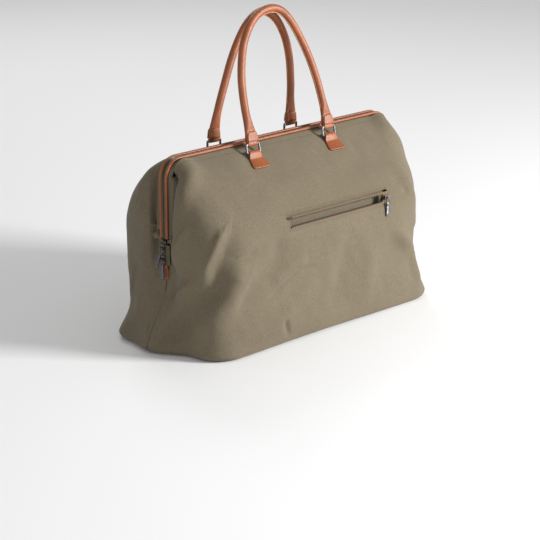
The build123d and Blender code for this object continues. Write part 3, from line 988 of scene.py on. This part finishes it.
# %% Bottom panel
def make_bottom():
    rim = lower_grid[1][:-1]
    centre = rim.mean(axis=0)
    rings = []
    for share, z in ((0.2, 0.0016), (0.5, 0.0016), (0.8, 0.0014), (0.95, 0.0012), (0.99, 0.0010)):
        ring = centre + (rim - centre) * share
        ring[:, 2] = z
        rings.append(ring)
    count = len(rim)
    points = [centre * (1, 1, 0) + np.array((0, 0, 0.0016))]
    points += [p for ring in rings for p in ring]
    faces = [(0, 1 + j, 1 + (j + 1) % count) for j in range(count)]
    faces += [face[::-1] for face in grid_faces(len(rings), count, closed=True, first=1)]
    obj = new_object("bottom_canvas", points, faces, canvas)
    solid = obj.modifiers.new("Cloth", "SOLIDIFY")
    solid.thickness = 0.0014
    solid.offset = 0
    return obj


bottom = make_bottom()
dress(bottom, "canvas", "bag", "bottom_panel")
print("bottom panel made")

# %% [markdown]
# Stitches and zip teeth are the same small piece hundreds of times along a path, which is what
# Geometry Nodes do best. One tree serves all of them: it turns edges into curves, puts a point
# every Pitch, and sets a small rounded piece or a block on each, with its long side along the
# path and its top towards Facing. The result is made a plain mesh, because an exported model
# can't carry instances.

# %% A node tree that repeats a piece along a path
def repeat_tree(name, material, blocks):
    tree = bpy.data.node_groups.new(name, "GeometryNodeTree")
    for label, kind in (("Geometry", "Geometry"), ("Pitch", "Float"), ("Size", "Vector"),
                        ("Facing", "Vector")):
        tree.interface.new_socket(label, in_out="INPUT", socket_type=f"NodeSocket{kind}")
    tree.interface.new_socket("Geometry", in_out="OUTPUT", socket_type="NodeSocketGeometry")

    def node(kind, links, **settings):
        made = tree.nodes.new(kind)
        for key, item in settings.items():
            setattr(made, key, item)
        for key, item in links.items():
            if isinstance(item, bpy.types.NodeSocket):
                tree.links.new(item, made.inputs[key])
            else:
                made.inputs[key].default_value = item
        return made.outputs

    given = node("NodeGroupInput", {})
    curve = node("GeometryNodeMeshToCurve", {"Mesh": given["Geometry"]})
    points = node("GeometryNodeCurveToPoints", {"Curve": curve["Curve"], "Length": given["Pitch"]},
                  mode="LENGTH")
    along = node("FunctionNodeAlignRotationToVector", {"Vector": points["Tangent"]}, axis="X")
    turned = node("FunctionNodeAlignRotationToVector",
                  {"Rotation": along["Rotation"], "Vector": given["Facing"]},
                  axis="Z", pivot_axis="X")
    if blocks:
        piece = node("GeometryNodeMeshCube", {"Size": (1, 1, 1)})
    else:
        piece = node("GeometryNodeMeshUVSphere", {"Segments": 8, "Rings": 5, "Radius": 0.5})
    smooth = node("GeometryNodeSetShadeSmooth", {"Geometry": piece["Mesh"],
                                                "Shade Smooth": not blocks})
    placed = node("GeometryNodeInstanceOnPoints",
                  {"Points": points["Points"], "Instance": smooth["Geometry"],
                   "Rotation": turned["Rotation"], "Scale": given["Size"]})
    real = node("GeometryNodeRealizeInstances", {"Geometry": placed["Instances"]})
    done = node("GeometryNodeSetMaterial", {"Geometry": real["Geometry"], "Material": material})
    node("NodeGroupOutput", {"Geometry": done["Geometry"]})
    return tree


def repeat_along(name, lines, tree, pitch, size, facing):
    """The tree's piece along every line of points, as one plain mesh object."""
    points = []
    edges = []
    for line in lines:
        edges += [(len(points) + k, len(points) + k + 1) for k in range(len(line) - 1)]
        points += [tuple(p) for p in line]
    path = bpy.data.meshes.new(name + "_path")
    path.from_pydata(points, edges, [])
    obj = bpy.data.objects.new(name + "_path", path)
    bpy.context.scene.collection.objects.link(obj)
    modifier = obj.modifiers.new("Repeat", "NODES")
    modifier.node_group = tree
    values = {"Pitch": pitch, "Size": size, "Facing": facing}
    for item in tree.interface.items_tree:
        if item.in_out == "INPUT" and item.name in values:
            modifier[item.identifier] = values[item.name]
    bpy.context.view_layer.update()
    made = obj.evaluated_get(bpy.context.evaluated_depsgraph_get())
    mesh = bpy.data.meshes.new_from_object(made)
    bpy.data.objects.remove(obj)
    result = bpy.data.objects.new(name, mesh)
    bpy.context.scene.collection.objects.link(result)
    print(name, len(mesh.polygons), "faces")
    return result


canvas_stitches = repeat_tree("Canvas_Stitches", canvas_thread, False)
leather_stitches = repeat_tree("Leather_Stitches", leather_thread, False)
zip_teeth = repeat_tree("Zip_Teeth", tooth_metal, True)
stitch_size = (0.0026, 0.0007, 0.0006)

# %% [markdown]
# Each frame carries a leather piping: a strip of leather folded round a cord and sewn in with
# the zip. It is a round section swept along the same inverted U as the frame. Behind it lies the
# canvas casing that holds the wire. Both are simple sweeps, because the real ones are too.

# %% Piping and frame casing
def u_line(inset, out, foot):
    """Points along the frame's inverted U, set in from its outline."""
    x = frame_half - inset
    top = frame_top - inset
    bend = frame_bend - inset
    leg = [Vector((-x, out, z)) for z in np.linspace(foot, top - bend, 26)]
    corner = [Vector((-x + bend - bend * cos(a), out, top - bend + bend * sin(a)))
              for a in np.linspace(0, pi / 2, 12)[1:]]
    run = [Vector((px, out, top)) for px in np.linspace(-x + bend, 0, 60)[1:]]
    half = leg + corner + run
    return half + [Vector((-p.x, p.y, p.z)) for p in half[::-1][1:]]


piping_radius = (piping_high.y - piping_low.y) / 2 - 0.0004
piping_out = -(piping_high.y + piping_low.y) / 2
casing_out = -(casing_high.y + casing_low.y) / 2
for side, side_name in side_names.items():
    piping = swept(f"{side_name}_piping_leather",
                   u_line(piping_radius + 0.0006, side * piping_out, piping_low.z),
                   circle(piping_radius, 16), leather)
    dress(piping, "leather", f"{side_name}_frame", f"{side_name}_piping")
    casing = swept(f"{side_name}_casing_canvas", u_line(0.0106, side * casing_out, 0.2),
                   circle(0.0045, 12), canvas)
    dress(casing, "canvas", f"{side_name}_frame", f"{side_name}_frame_casing")
print("piping radius", round(piping_radius, 4))

# %% [markdown]
# The zip between the frames is a chain of small metal teeth on each tape. The tapes' own CAD
# solids have the right shape, so they only get a ribbed cloth. The teeth are repeated blocks.

# %% Main zip
def paint(node, material):
    """Gives a CAD node's object a finish."""
    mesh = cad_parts[node].data
    mesh.materials.clear()
    mesh.materials.append(material)


teeth_low, teeth_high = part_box("back_zip_teeth")
tooth_out = (teeth_low.y + teeth_high.y) / 2
for side, side_name in side_names.items():
    paint(f"{side_name}_zip_tape", tape_cloth)
    teeth = repeat_along(f"{side_name}_teeth", [u_line(0.0030, side * tooth_out, teeth_low.z)],
                         zip_teeth, 0.0021, (0.0012, 0.0011, 0.0022), (0, 1, 0))
    dress(teeth, "zip_teeth", f"{side_name}_frame", f"{side_name}_zip_teeth")

for end, end_name in ((-1, "left"), (1, "right")):
    paint(f"{end_name}_end_zip", tape_cloth)
    x = end * (max(abs(end_zip_low.x), abs(end_zip_high.x)) + 0.0002)
    line = [Vector((x, 0, z)) for z in np.linspace(end_zip_low.z, end_zip_high.z, 12)]
    teeth = repeat_along(f"{end_name}_end_teeth", [line], zip_teeth, 0.0014,
                         (0.0008, 0.0030, 0.0012), (end, 0, 0))
    dress(teeth, "zip_teeth", "bag")

# %% [markdown]
# A strap of leather is a flat section with rounded edges that follows a line. Sweeping it with
# its width given at every point makes the round corners of a tab, the flare of a handle's end
# and the fold round a ring's bar from the same few lines of code.

# %% Straps of leather
def strap(name, line, widths, thickness, material, across=Vector((1, 0, 0))):
    """A flat strap along a line; across is the direction of its width."""
    line = [Vector(p) for p in line]
    points = []
    for i, p in enumerate(line):
        tangent = line[min(i + 1, len(line) - 1)] - line[max(i - 1, 0)]
        rise = across.cross(tangent).normalized()
        section = box_section(widths[i], thickness, thickness * 0.42)
        points += [p + across * s + rise * r for s, r in section]
    return skin(name, points, len(section), material)


def corner_width(full, corner, distance):
    """The width of a strap at a distance from its rounded end."""
    if distance >= corner:
        return full
    missing = corner - max(distance, 0.0002)
    return full - 2 * (corner - sqrt(corner * corner - missing * missing))


print("strap helper ready")

# %% [markdown]
# Four tabs hold the rings. Each is one strap: it folds round the ring's lower bar, comes down on
# the canvas and flares to a wide end with rounded corners, sewn all round. The tab has to lie on
# the canvas as it now is, so its line is found by looking down on the settled canvas.

# %% Leather tabs
surfaces = {}
for side, (grid, _) in shells.items():
    surfaces[side] = BVHTree.FromPolygons([Vector(p) for p in grid.reshape(-1, 3)],
                                          grid_faces(*grid.shape[:2]))
tab_thick = 0.0024
tab_length = 0.031
tab_widths = (0.0245, 0.0275, 0.0385)
bar_radius = 0.002
roof_slope = radians(37.2)


def canvas_under(side, x, base, down, distance, normal):
    """The canvas's point below a place on the tab, or None."""
    origin = Vector((x, base.y, base.z)) + down * distance + normal * 0.03
    return surfaces[side].ray_cast(origin, -normal, 0.08)[0]


for side, side_name in side_names.items():
    down = Vector((0, side * cos(roof_slope), -sin(roof_slope)))
    normal = Vector((0, side * sin(roof_slope), cos(roof_slope)))
    for end_name in ("left", "right"):
        ring_low, ring_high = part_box(f"{side_name}_{end_name}_ring")
        middle = (ring_low.x + ring_high.x) / 2
        near = ring_low.y if side < 0 else ring_high.y
        bar = Vector((middle, near - side * bar_radius, ring_low.z + bar_radius))
        reach = bar_radius + 0.0003 + tab_thick / 2
        line = [bar - normal * reach + down * 0.006, bar - normal * reach + down * 0.002]
        for k in range(9):
            a = pi * k / 8
            line.append(bar - normal * reach * cos(a) - down * reach * sin(a))
        widths = [tab_widths[0]] * len(line)
        for k in range(1, 27):
            distance = (tab_length - 0.0002) * (k / 26) ** 0.9 + 0.0002 * k / 26
            hits = [canvas_under(side, middle + dx, bar, down, distance, normal)
                    for dx in (-0.014, 0.0, 0.014)]
            rest = max((hit - bar).dot(normal) for hit in hits if hit)
            lift = blend_value(reach, rest + tab_thick / 2 + 0.0003, ease(distance / 0.012))
            line.append(bar + down * distance + normal * lift)
            flare = blend_value(tab_widths[1], tab_widths[2], ease(distance / tab_length))
            flare = blend_value(tab_widths[0], flare, ease(distance / 0.006))
            widths.append(corner_width(flare, 0.005, tab_length - distance))
        tab = strap(f"{side_name}_{end_name}_tab_leather", line, widths, tab_thick, leather)
        dress(tab, "leather", f"{side_name}_frame", f"{side_name}_{end_name}_tab")
        top = [p + normal * (tab_thick / 2 + 0.0001) for p in line[17:-3]]
        half = [w / 2 - 0.0028 for w in widths[17:-3]]
        left_row = [p - Vector((w, 0, 0)) for p, w in zip(top, half)]
        right_row = [p + Vector((w, 0, 0)) for p, w in zip(top, half)]
        rows = [left_row + right_row[::-1]]
        rows.append([p + Vector((s, 0, 0)) for p in top[:1] for s in (-0.011, 0, 0.011)])
        sewn = repeat_along(f"{side_name}_{end_name}_tab_stitches", rows, leather_stitches,
                            0.0034, stitch_size, normal)
        dress(sewn, "leather", f"{side_name}_frame")
        paint(f"{side_name}_{end_name}_ring", gunmetal)

# %% [markdown]
# A rolled handle is leather wrapped round a soft core and sewn along the inside of the curve.
# Towards each ring the core stops, and the leather flattens into a wide end that folds round the
# ring's upper bar. One closed section follows the handle's line: round along the roll, wide and
# thin at the ends. The line's points lie in the handle's own plane, measured from the middle of
# its two rings along X and up from the rings' upper bars.

# %% Rolled handles
handle_lines = {
    -1: [(-0.093, -0.0041), (-0.0932, 0.010), (-0.0955, 0.030), (-0.0985, 0.060),
         (-0.0975, 0.103), (-0.091, 0.139), (-0.079, 0.172), (-0.060, 0.199), (-0.038, 0.216),
         (-0.013, 0.223), (0.011, 0.220), (0.031, 0.205), (0.050, 0.175), (0.069, 0.131),
         (0.081, 0.088), (0.0875, 0.050), (0.0915, 0.022), (0.093, 0.008), (0.093, -0.0041)],
    1: [(-0.093, -0.0041), (-0.0925, 0.008), (-0.0905, 0.024), (-0.083, 0.054),
        (-0.068, 0.096), (-0.053, 0.135), (-0.036, 0.168), (-0.016, 0.194), (0.007, 0.209),
        (0.030, 0.210), (0.055, 0.193), (0.076, 0.160), (0.088, 0.121), (0.0925, 0.078),
        (0.0925, 0.042), (0.093, 0.016), (0.093, 0.004), (0.093, -0.0041)],
}
# Half width, half thickness and squareness of the section at a height above the ring's bar.
handle_sections = ((-0.0041, 0.0112, 0.0012, 3.4), (-0.0036, 0.0118, 0.0026, 3.4),
                   (-0.0018, 0.0121, 0.0037, 3.4), (0.0005, 0.0121, 0.0041, 3.4),
                   (0.0120, 0.0118, 0.0036, 3.6), (0.0220, 0.0108, 0.0040, 3.2),
                   (0.0320, 0.0088, 0.0056, 2.6), (0.0420, 0.0074, 0.0066, 2.2),
                   (0.0520, 0.0068, 0.0068, 2.0))
handle_lean = {-1: (0.014, 0.552), 1: (0.031, 0.552)}    # y and z of each handle's apex
handle_foot = 0.093       # from a handle's middle to each of its rings


def section_at(height):
    last = handle_sections[0]
    for entry in handle_sections:
        if height <= entry[0]:
            share = 0 if entry is last else clamp01((height - last[0]) / (entry[0] - last[0]))
            return [blend_value(a, b, ease(share)) for a, b in zip(last[1:], entry[1:])]
        last = entry
    return list(last[1:])


def rounded_power(value, power):
    return (1 if value >= 0 else -1) * abs(value) ** (2 / power)


def make_handle(side, side_name):
    ring_low, ring_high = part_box(f"{side_name}_left_ring")
    middle = (ring_low.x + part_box(f"{side_name}_right_ring")[1].x) / 2
    bar_y = ring_high.y - bar_radius if side < 0 else 0.03425
    bar = Vector((middle, bar_y, ring_high.z - bar_radius))
    apex_y, apex_z = handle_lean[side]
    rise = Vector((0, apex_y - bar.y, apex_z - bar.z)).normalized()
    across = Vector((1, 0, 0))
    normal = across.cross(rise) * (-1 if side > 0 else 1)
    flat = smooth_line([(x, h, 0) for x, h in handle_lines[side]], 8)
    points = []
    seam = []
    cord = []
    rows = ([], [])
    count = 24
    for i, p in enumerate(flat):
        tangent = (flat[min(i + 1, len(flat) - 1)] - flat[max(i - 1, 0)]).normalized()
        inwards = Vector((tangent.y, -tangent.x, 0))
        side_way = across * inwards.x + rise * inwards.y
        centre = bar + across * p.x + rise * p.y
        wide, thick, power = section_at(p.y)
        for k in range(count):
            a = 2 * pi * k / count
            points.append(centre + side_way * (wide * rounded_power(cos(a), power))
                          + normal * (thick * rounded_power(sin(a), power)))
        if p.y > 0.030:
            cord.append(centre)
        if p.y > 0.034:
            seam.append(centre + side_way * (wide + 0.0002))
            for row, sign in zip(rows, (-1, 1)):
                row.append(centre + side_way * (wide * 0.80) + normal * (sign * thick * 0.62))
    roll = skin(f"{side_name}_handle_roll", points, count, leather_dark)
    dress(roll, "leather", f"{side_name}_handle", f"{side_name}_handle")
    core = swept(f"{side_name}_handle_cord", cord, circle(0.0042, 12), board_cloth)
    dress(core, "cord_core", f"{side_name}_handle", f"{side_name}_handle_core")
    # The seam's paler finish is worn edge paint and also a painted highlight line along the roll.
    edge = swept(f"{side_name}_handle_seam", seam, box_section(0.0026, 0.0016, 0.0006),
                 worn_edge_and_highlight, up=tuple(normal))
    dress(edge, "leather", f"{side_name}_handle")
    sewn = repeat_along(f"{side_name}_handle_stitches", rows, leather_stitches, 0.0044,
                        (0.0030, 0.0008, 0.0007), tuple(normal))
    dress(sewn, "leather", f"{side_name}_handle")
    print(side_name, "handle bar at", tuple(round(c, 4) for c in bar), "points", len(points))
    return bar, rise, normal


for side, side_name in side_names.items():
    bar, rise, normal = make_handle(side, side_name)
    for x in (-handle_foot, handle_foot):
        foot = bar + Vector((x, 0, 0))
        for face in (-1, 1):
            outer = normal * face
            line = [foot + rise * h + outer * (section_at(h)[1] + 0.0004)
                    for h in (0.0035, 0.006, 0.010, 0.014, 0.018, 0.022)]
            widths = [0.0225, 0.0228, 0.0226, 0.0215, 0.0195, 0.0120]
            patch_name = f"{side_name}_handle_end_{'left' if x < 0 else 'right'}_{face + 1}"
            patch = strap(patch_name, line, widths, 0.0012, leather)
            dress(patch, "leather", f"{side_name}_handle")
            row = [foot + Vector((dx, 0, 0)) + rise * 0.0055 + outer * 0.0052
                   for dx in (-0.009, 0, 0.009)]
            sewn = repeat_along(patch_name + "_stitches", [row], leather_stitches, 0.0032,
                                stitch_size, tuple(outer))
            dress(sewn, "leather", f"{side_name}_handle")

# %% [markdown]
# A puller is a small cast bar with ribs to grip, hung from the slider on a wire loop. The bar is
# a sweep whose thickness rises and falls along its length, and the loop is a round wire bent to
# a long ring.

# %% Sliders and pullers
puller_length = 0.0344    # from the pin to the bar's end
bar_start = 0.0092
grip_ribs = 13


def make_puller(name, pin, hang, out, body):
    """A puller hanging from its pin in the direction hang, with its face towards out."""
    across = hang.cross(out).normalized()
    loop = []
    for k in range(24):
        a = 2 * pi * k / 24
        loop.append(pin + across * (0.0027 * rounded_power(cos(a), 3))
                    + hang * (0.0050 + 0.0062 * rounded_power(sin(a), 3)))
    wire = swept(name + "_loop", loop, circle(0.0008, 8), gunmetal, closed=True,
                 up=tuple(across.cross(hang)))
    rows = 46
    points = []
    for i in range(rows):
        share = i / (rows - 1)
        distance = blend_value(bar_start, puller_length, share)
        width = corner_width(blend_value(0.0056, 0.0084, ease(share * 1.2)), 0.0024,
                             puller_length - distance)
        thick = 0.0030
        if 0.20 < share < 0.86:
            thick += 0.00055 * sin(share * 2 * pi * grip_ribs)
        if share < 0.04 or share > 0.97:
            thick *= 0.7
        centre = pin + hang * distance
        points += [centre + across * s + out * r
                   for s, r in box_section(width, thick, 0.0009)]
    bar = skin(name + "_bar", points, len(points) // rows, gunmetal)
    piece = joined(name + "_metal", [bar, wire])
    dress(piece, "dark_metal", body, name)
    return piece


lower_puller_low, lower_puller_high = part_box("lower_puller")
puller_pin_x = (lower_puller_low.x + lower_puller_high.x) / 2
lean = radians(25)
make_puller("upper_puller", Vector((puller_pin_x, 0, 0.180)),
            Vector((-sin(lean), 0, -cos(lean))), Vector((-cos(lean), 0, sin(lean))),
            "upper_puller")
make_puller("lower_puller", Vector((puller_pin_x, 0, 0.160)), Vector((0, 0, -1)),
            Vector((-1, 0, 0)), "lower_puller")
slot_slider_low, slot_slider_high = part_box("slot_slider")
slot_pin = Vector(((slot_slider_low.x + slot_slider_high.x) / 2, -0.13745, 0.217))
make_puller("slot_puller", slot_pin, Vector((0, 0, -1)), Vector((0, -1, 0)), "slot_puller")
for node in ("upper_slider", "lower_slider", "slot_slider", "left_hinge_plate",
             "right_hinge_plate", "left_hinge_pin", "right_hinge_pin", "front_frame_wire",
             "back_frame_wire"):
    paint(node, gunmetal)
print("pullers hang from x", puller_pin_x)

# %% [markdown]
# At the foot of each end zip a small leather tab covers the zip's end. Its stitches run round
# it close to the edge.

# %% End tabs
for end, end_name in ((-1, "left"), (1, "right")):
    tab_low, tab_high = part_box(f"{end_name}_end_tab")
    x = end * (max(abs(tab_low.x), abs(tab_high.x)) + 0.0002)
    heights = np.linspace(tab_high.z + 0.004, tab_low.z, 24)
    line = [Vector((x + end * (0.0022 * ease((z - tab_high.z + 0.004) / 0.004)), 0, z))
            for z in heights]
    widths = [corner_width(0.0155, 0.0045, z - tab_low.z) for z in heights]
    tab = strap(f"{end_name}_end_tab_leather", line, widths, 0.0020, leather,
                across=Vector((0, 1, 0)))
    dress(tab, "leather", "bag", f"{end_name}_end_tab")
    face_x = x + end * 0.0011
    rim = [Vector((face_x, -0.0056, tab_high.z - 0.002)), Vector((face_x, -0.0056, 0.129)),
           Vector((face_x, -0.0035, 0.1273)), Vector((face_x, 0.0035, 0.1273)),
           Vector((face_x, 0.0056, 0.129)), Vector((face_x, 0.0056, tab_high.z - 0.002))]
    sewn = repeat_along(f"{end_name}_end_tab_stitches", [rim], leather_stitches, 0.0032,
                        stitch_size, (end, 0, 0))
    dress(sewn, "leather", "bag")

# %% [markdown]
# The trolley slot has a zip of its own. Its tapes are sewn behind the canvas and its teeth line
# the opening. The canvas is turned in and stitched round it.

# %% Trolley slot
for part in ("upper", "lower"):
    paint(f"slot_{part}_tape", slot_tape_cloth)
    low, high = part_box(f"slot_{part}_teeth")
    z = low.z + 0.0008 if part == "upper" else high.z - 0.0008
    near, far = (low.z, high.z) if part == "upper" else (high.z, low.z)
    closed_x = slot_slider_low.x + 0.006
    line = [Vector((low.x + 0.001, -0.1329, far)), Vector((low.x + 0.004, -0.1329, far))]
    line += [Vector((x, -0.1329, far)) for x in np.linspace(low.x + 0.01, closed_x - 0.014, 40)]
    line += [Vector((closed_x, -0.1329, near)), Vector((high.x - 0.001, -0.1329, near))]
    teeth = repeat_along(f"slot_{part}_teeth_row", [line], zip_teeth, 0.0019,
                         (0.0011, 0.0018, 0.0019), (0, -1, 0))
    dress(teeth, "zip_teeth", "bag", f"slot_{part}_teeth")


def on_canvas(side, x, z, lift):
    """A point just proud of the canvas, seen straight from the front or back."""
    hit = surfaces[side].ray_cast(Vector((x, side * 0.3, z)), Vector((0, -side, 0)), 0.4)[0]
    return hit + Vector((0, side * lift, 0)) if hit else Vector((x, side * 0.134, z))


margin = 0.0030
x_values = np.linspace(slot_x[0] - margin, slot_x[1] + margin, 60)
z_values = np.linspace(slot_z[0] - margin, slot_z[1] + margin, 8)
rim = [on_canvas(-1, x, z_values[0], 0.0002) for x in x_values]
rim += [on_canvas(-1, x_values[-1], z, 0.0002) for z in z_values[1:]]
rim += [on_canvas(-1, x, z_values[-1], 0.0002) for x in x_values[::-1][1:]]
rim += [on_canvas(-1, x_values[0], z, 0.0002) for z in z_values[::-1][1:]]
sewn = repeat_along("slot_stitches", [rim], canvas_stitches, 0.0038, stitch_size, (0, -1, 0))
dress(sewn, "canvas", "bag")

# %% [markdown]
# A line of stitches holds the canvas to each frame, a few millimetres from the piping. The
# canvas is nearly the frame's own there, so the stitches ride on the frame.

# %% Stitches beside the piping
def edge_row(side, rows_in):
    """A row of the canvas near the frame, a little proud of it, without the folded feet."""
    grid, normals = shells[side]
    row = grid[-1 - rows_in] + normals[-1 - rows_in] * 0.0002
    return [Vector(p) for p in row if p[2] > 0.215]


for side, side_name in side_names.items():
    line = edge_row(side, 2)
    sewn = repeat_along(f"{side_name}_edge_stitches", [line], canvas_stitches, 0.0042,
                        (0.0030, 0.0008, 0.0008), (0, side * 0.8, 0.6))
    dress(sewn, "canvas", f"{side_name}_frame")

# %% [markdown]
# Inside, a looser bag of plain cloth hangs from the frames' feet, a stiff board covered in the
# same cloth lies on the bottom, and a flat pocket is sewn to the back wall. The second layer of
# the trolley sleeve lies between lining and front. All of them are seen only when the bag opens,
# and each is a closed sheet with a soft wave in it.

# %% Inside
def bucket_grid(length, front, back, corner, low, high, rows):
    """Rows round a rounded rectangle, closed, from low to high."""
    plan = []
    for cx, cy, first in ((length - corner, back - corner, 0),
                          (-length + corner, back - corner, 1),
                          (-length + corner, front + corner, 2),
                          (length - corner, front + corner, 3)):
        for k in range(9):
            a = (first + k / 8) * pi / 2
            plan.append(Vector((cx + corner * cos(a), cy + corner * sin(a), 0)))
    plan.append(plan[0].copy())
    fine = []
    for a, b in zip(plan, plan[1:]):
        steps = max(1, round((b - a).length / 0.008))
        fine += [a.lerp(b, k / steps) for k in range(steps)]
    fine.append(plan[0].copy())
    grid = []
    for z in np.linspace(low, high, rows):
        row = []
        for p in fine:
            q = Vector((p.x, p.y, z))
            wave = noise.noise(q * 14) * 0.003 + noise.noise(q * 30) * 0.001
            pull = 1 + wave / 0.12 - 0.02 * (1 - z / high)
            row.append((q.x * (0.5 + 0.5 * pull), q.y * pull, z))
        grid.append(row)
    return np.array(grid)


lining_grid = bucket_grid(0.245, -0.104, 0.116, 0.055, 0.0075, 0.2275, 40)
lining_normals = row_normals(lining_grid, -1)
lining = thick_sheet("lining_cloth", lining_grid, lining_normals, lining_cloth, 0.0010)
merge_close(lining, 0.00002)
dress(lining, "lining", "bag", "lining")


def flat_sheet(name, xs, zs, y, thickness, material, slot, replaced, bulge):
    grid = np.array([[(x, y + bulge * sin(pi * i / (len(xs) - 1)) * sin(pi * j / (len(zs) - 1))
                       + 0.0008 * noise.noise(Vector((x, 0, z)) * 25), z)
                      for i, x in enumerate(xs)] for j, z in enumerate(zs)])
    sheet = thick_sheet(name, grid, row_normals(grid, -1), material, thickness)
    dress(sheet, slot, "bag", replaced)
    return sheet


flat_sheet("sleeve_cloth", np.linspace(-0.119, 0.169, 50), np.linspace(0.006, 0.231, 40),
           -0.1165, 0.0018, canvas, "canvas", "sleeve_backing", -0.002)
flat_sheet("pocket_cloth", np.linspace(-0.118, 0.118, 40), np.linspace(0.072, 0.199, 24),
           0.1085, 0.0012, lining_cloth, "lining", "inner_pocket", -0.003)

board_outline = [(0.262 * rounded_power(cos(a), 6), -0.004 + 0.102 * rounded_power(sin(a), 6))
                 for a in np.linspace(0, 2 * pi, 97)[:-1]]
board_levels = ((0.985, 0.0032), (1.0, 0.0038), (1.0, 0.0058), (0.985, 0.0066))
board_points = [Vector((x * scale, y * scale, z)) for scale, z in board_levels
                for x, y in board_outline]
base_board = skin("base_board_covered", board_points, len(board_outline), board_cloth)
bevelled(base_board, 0.0005)
dress(base_board, "board", "bag", "base_board")
print("inside made")
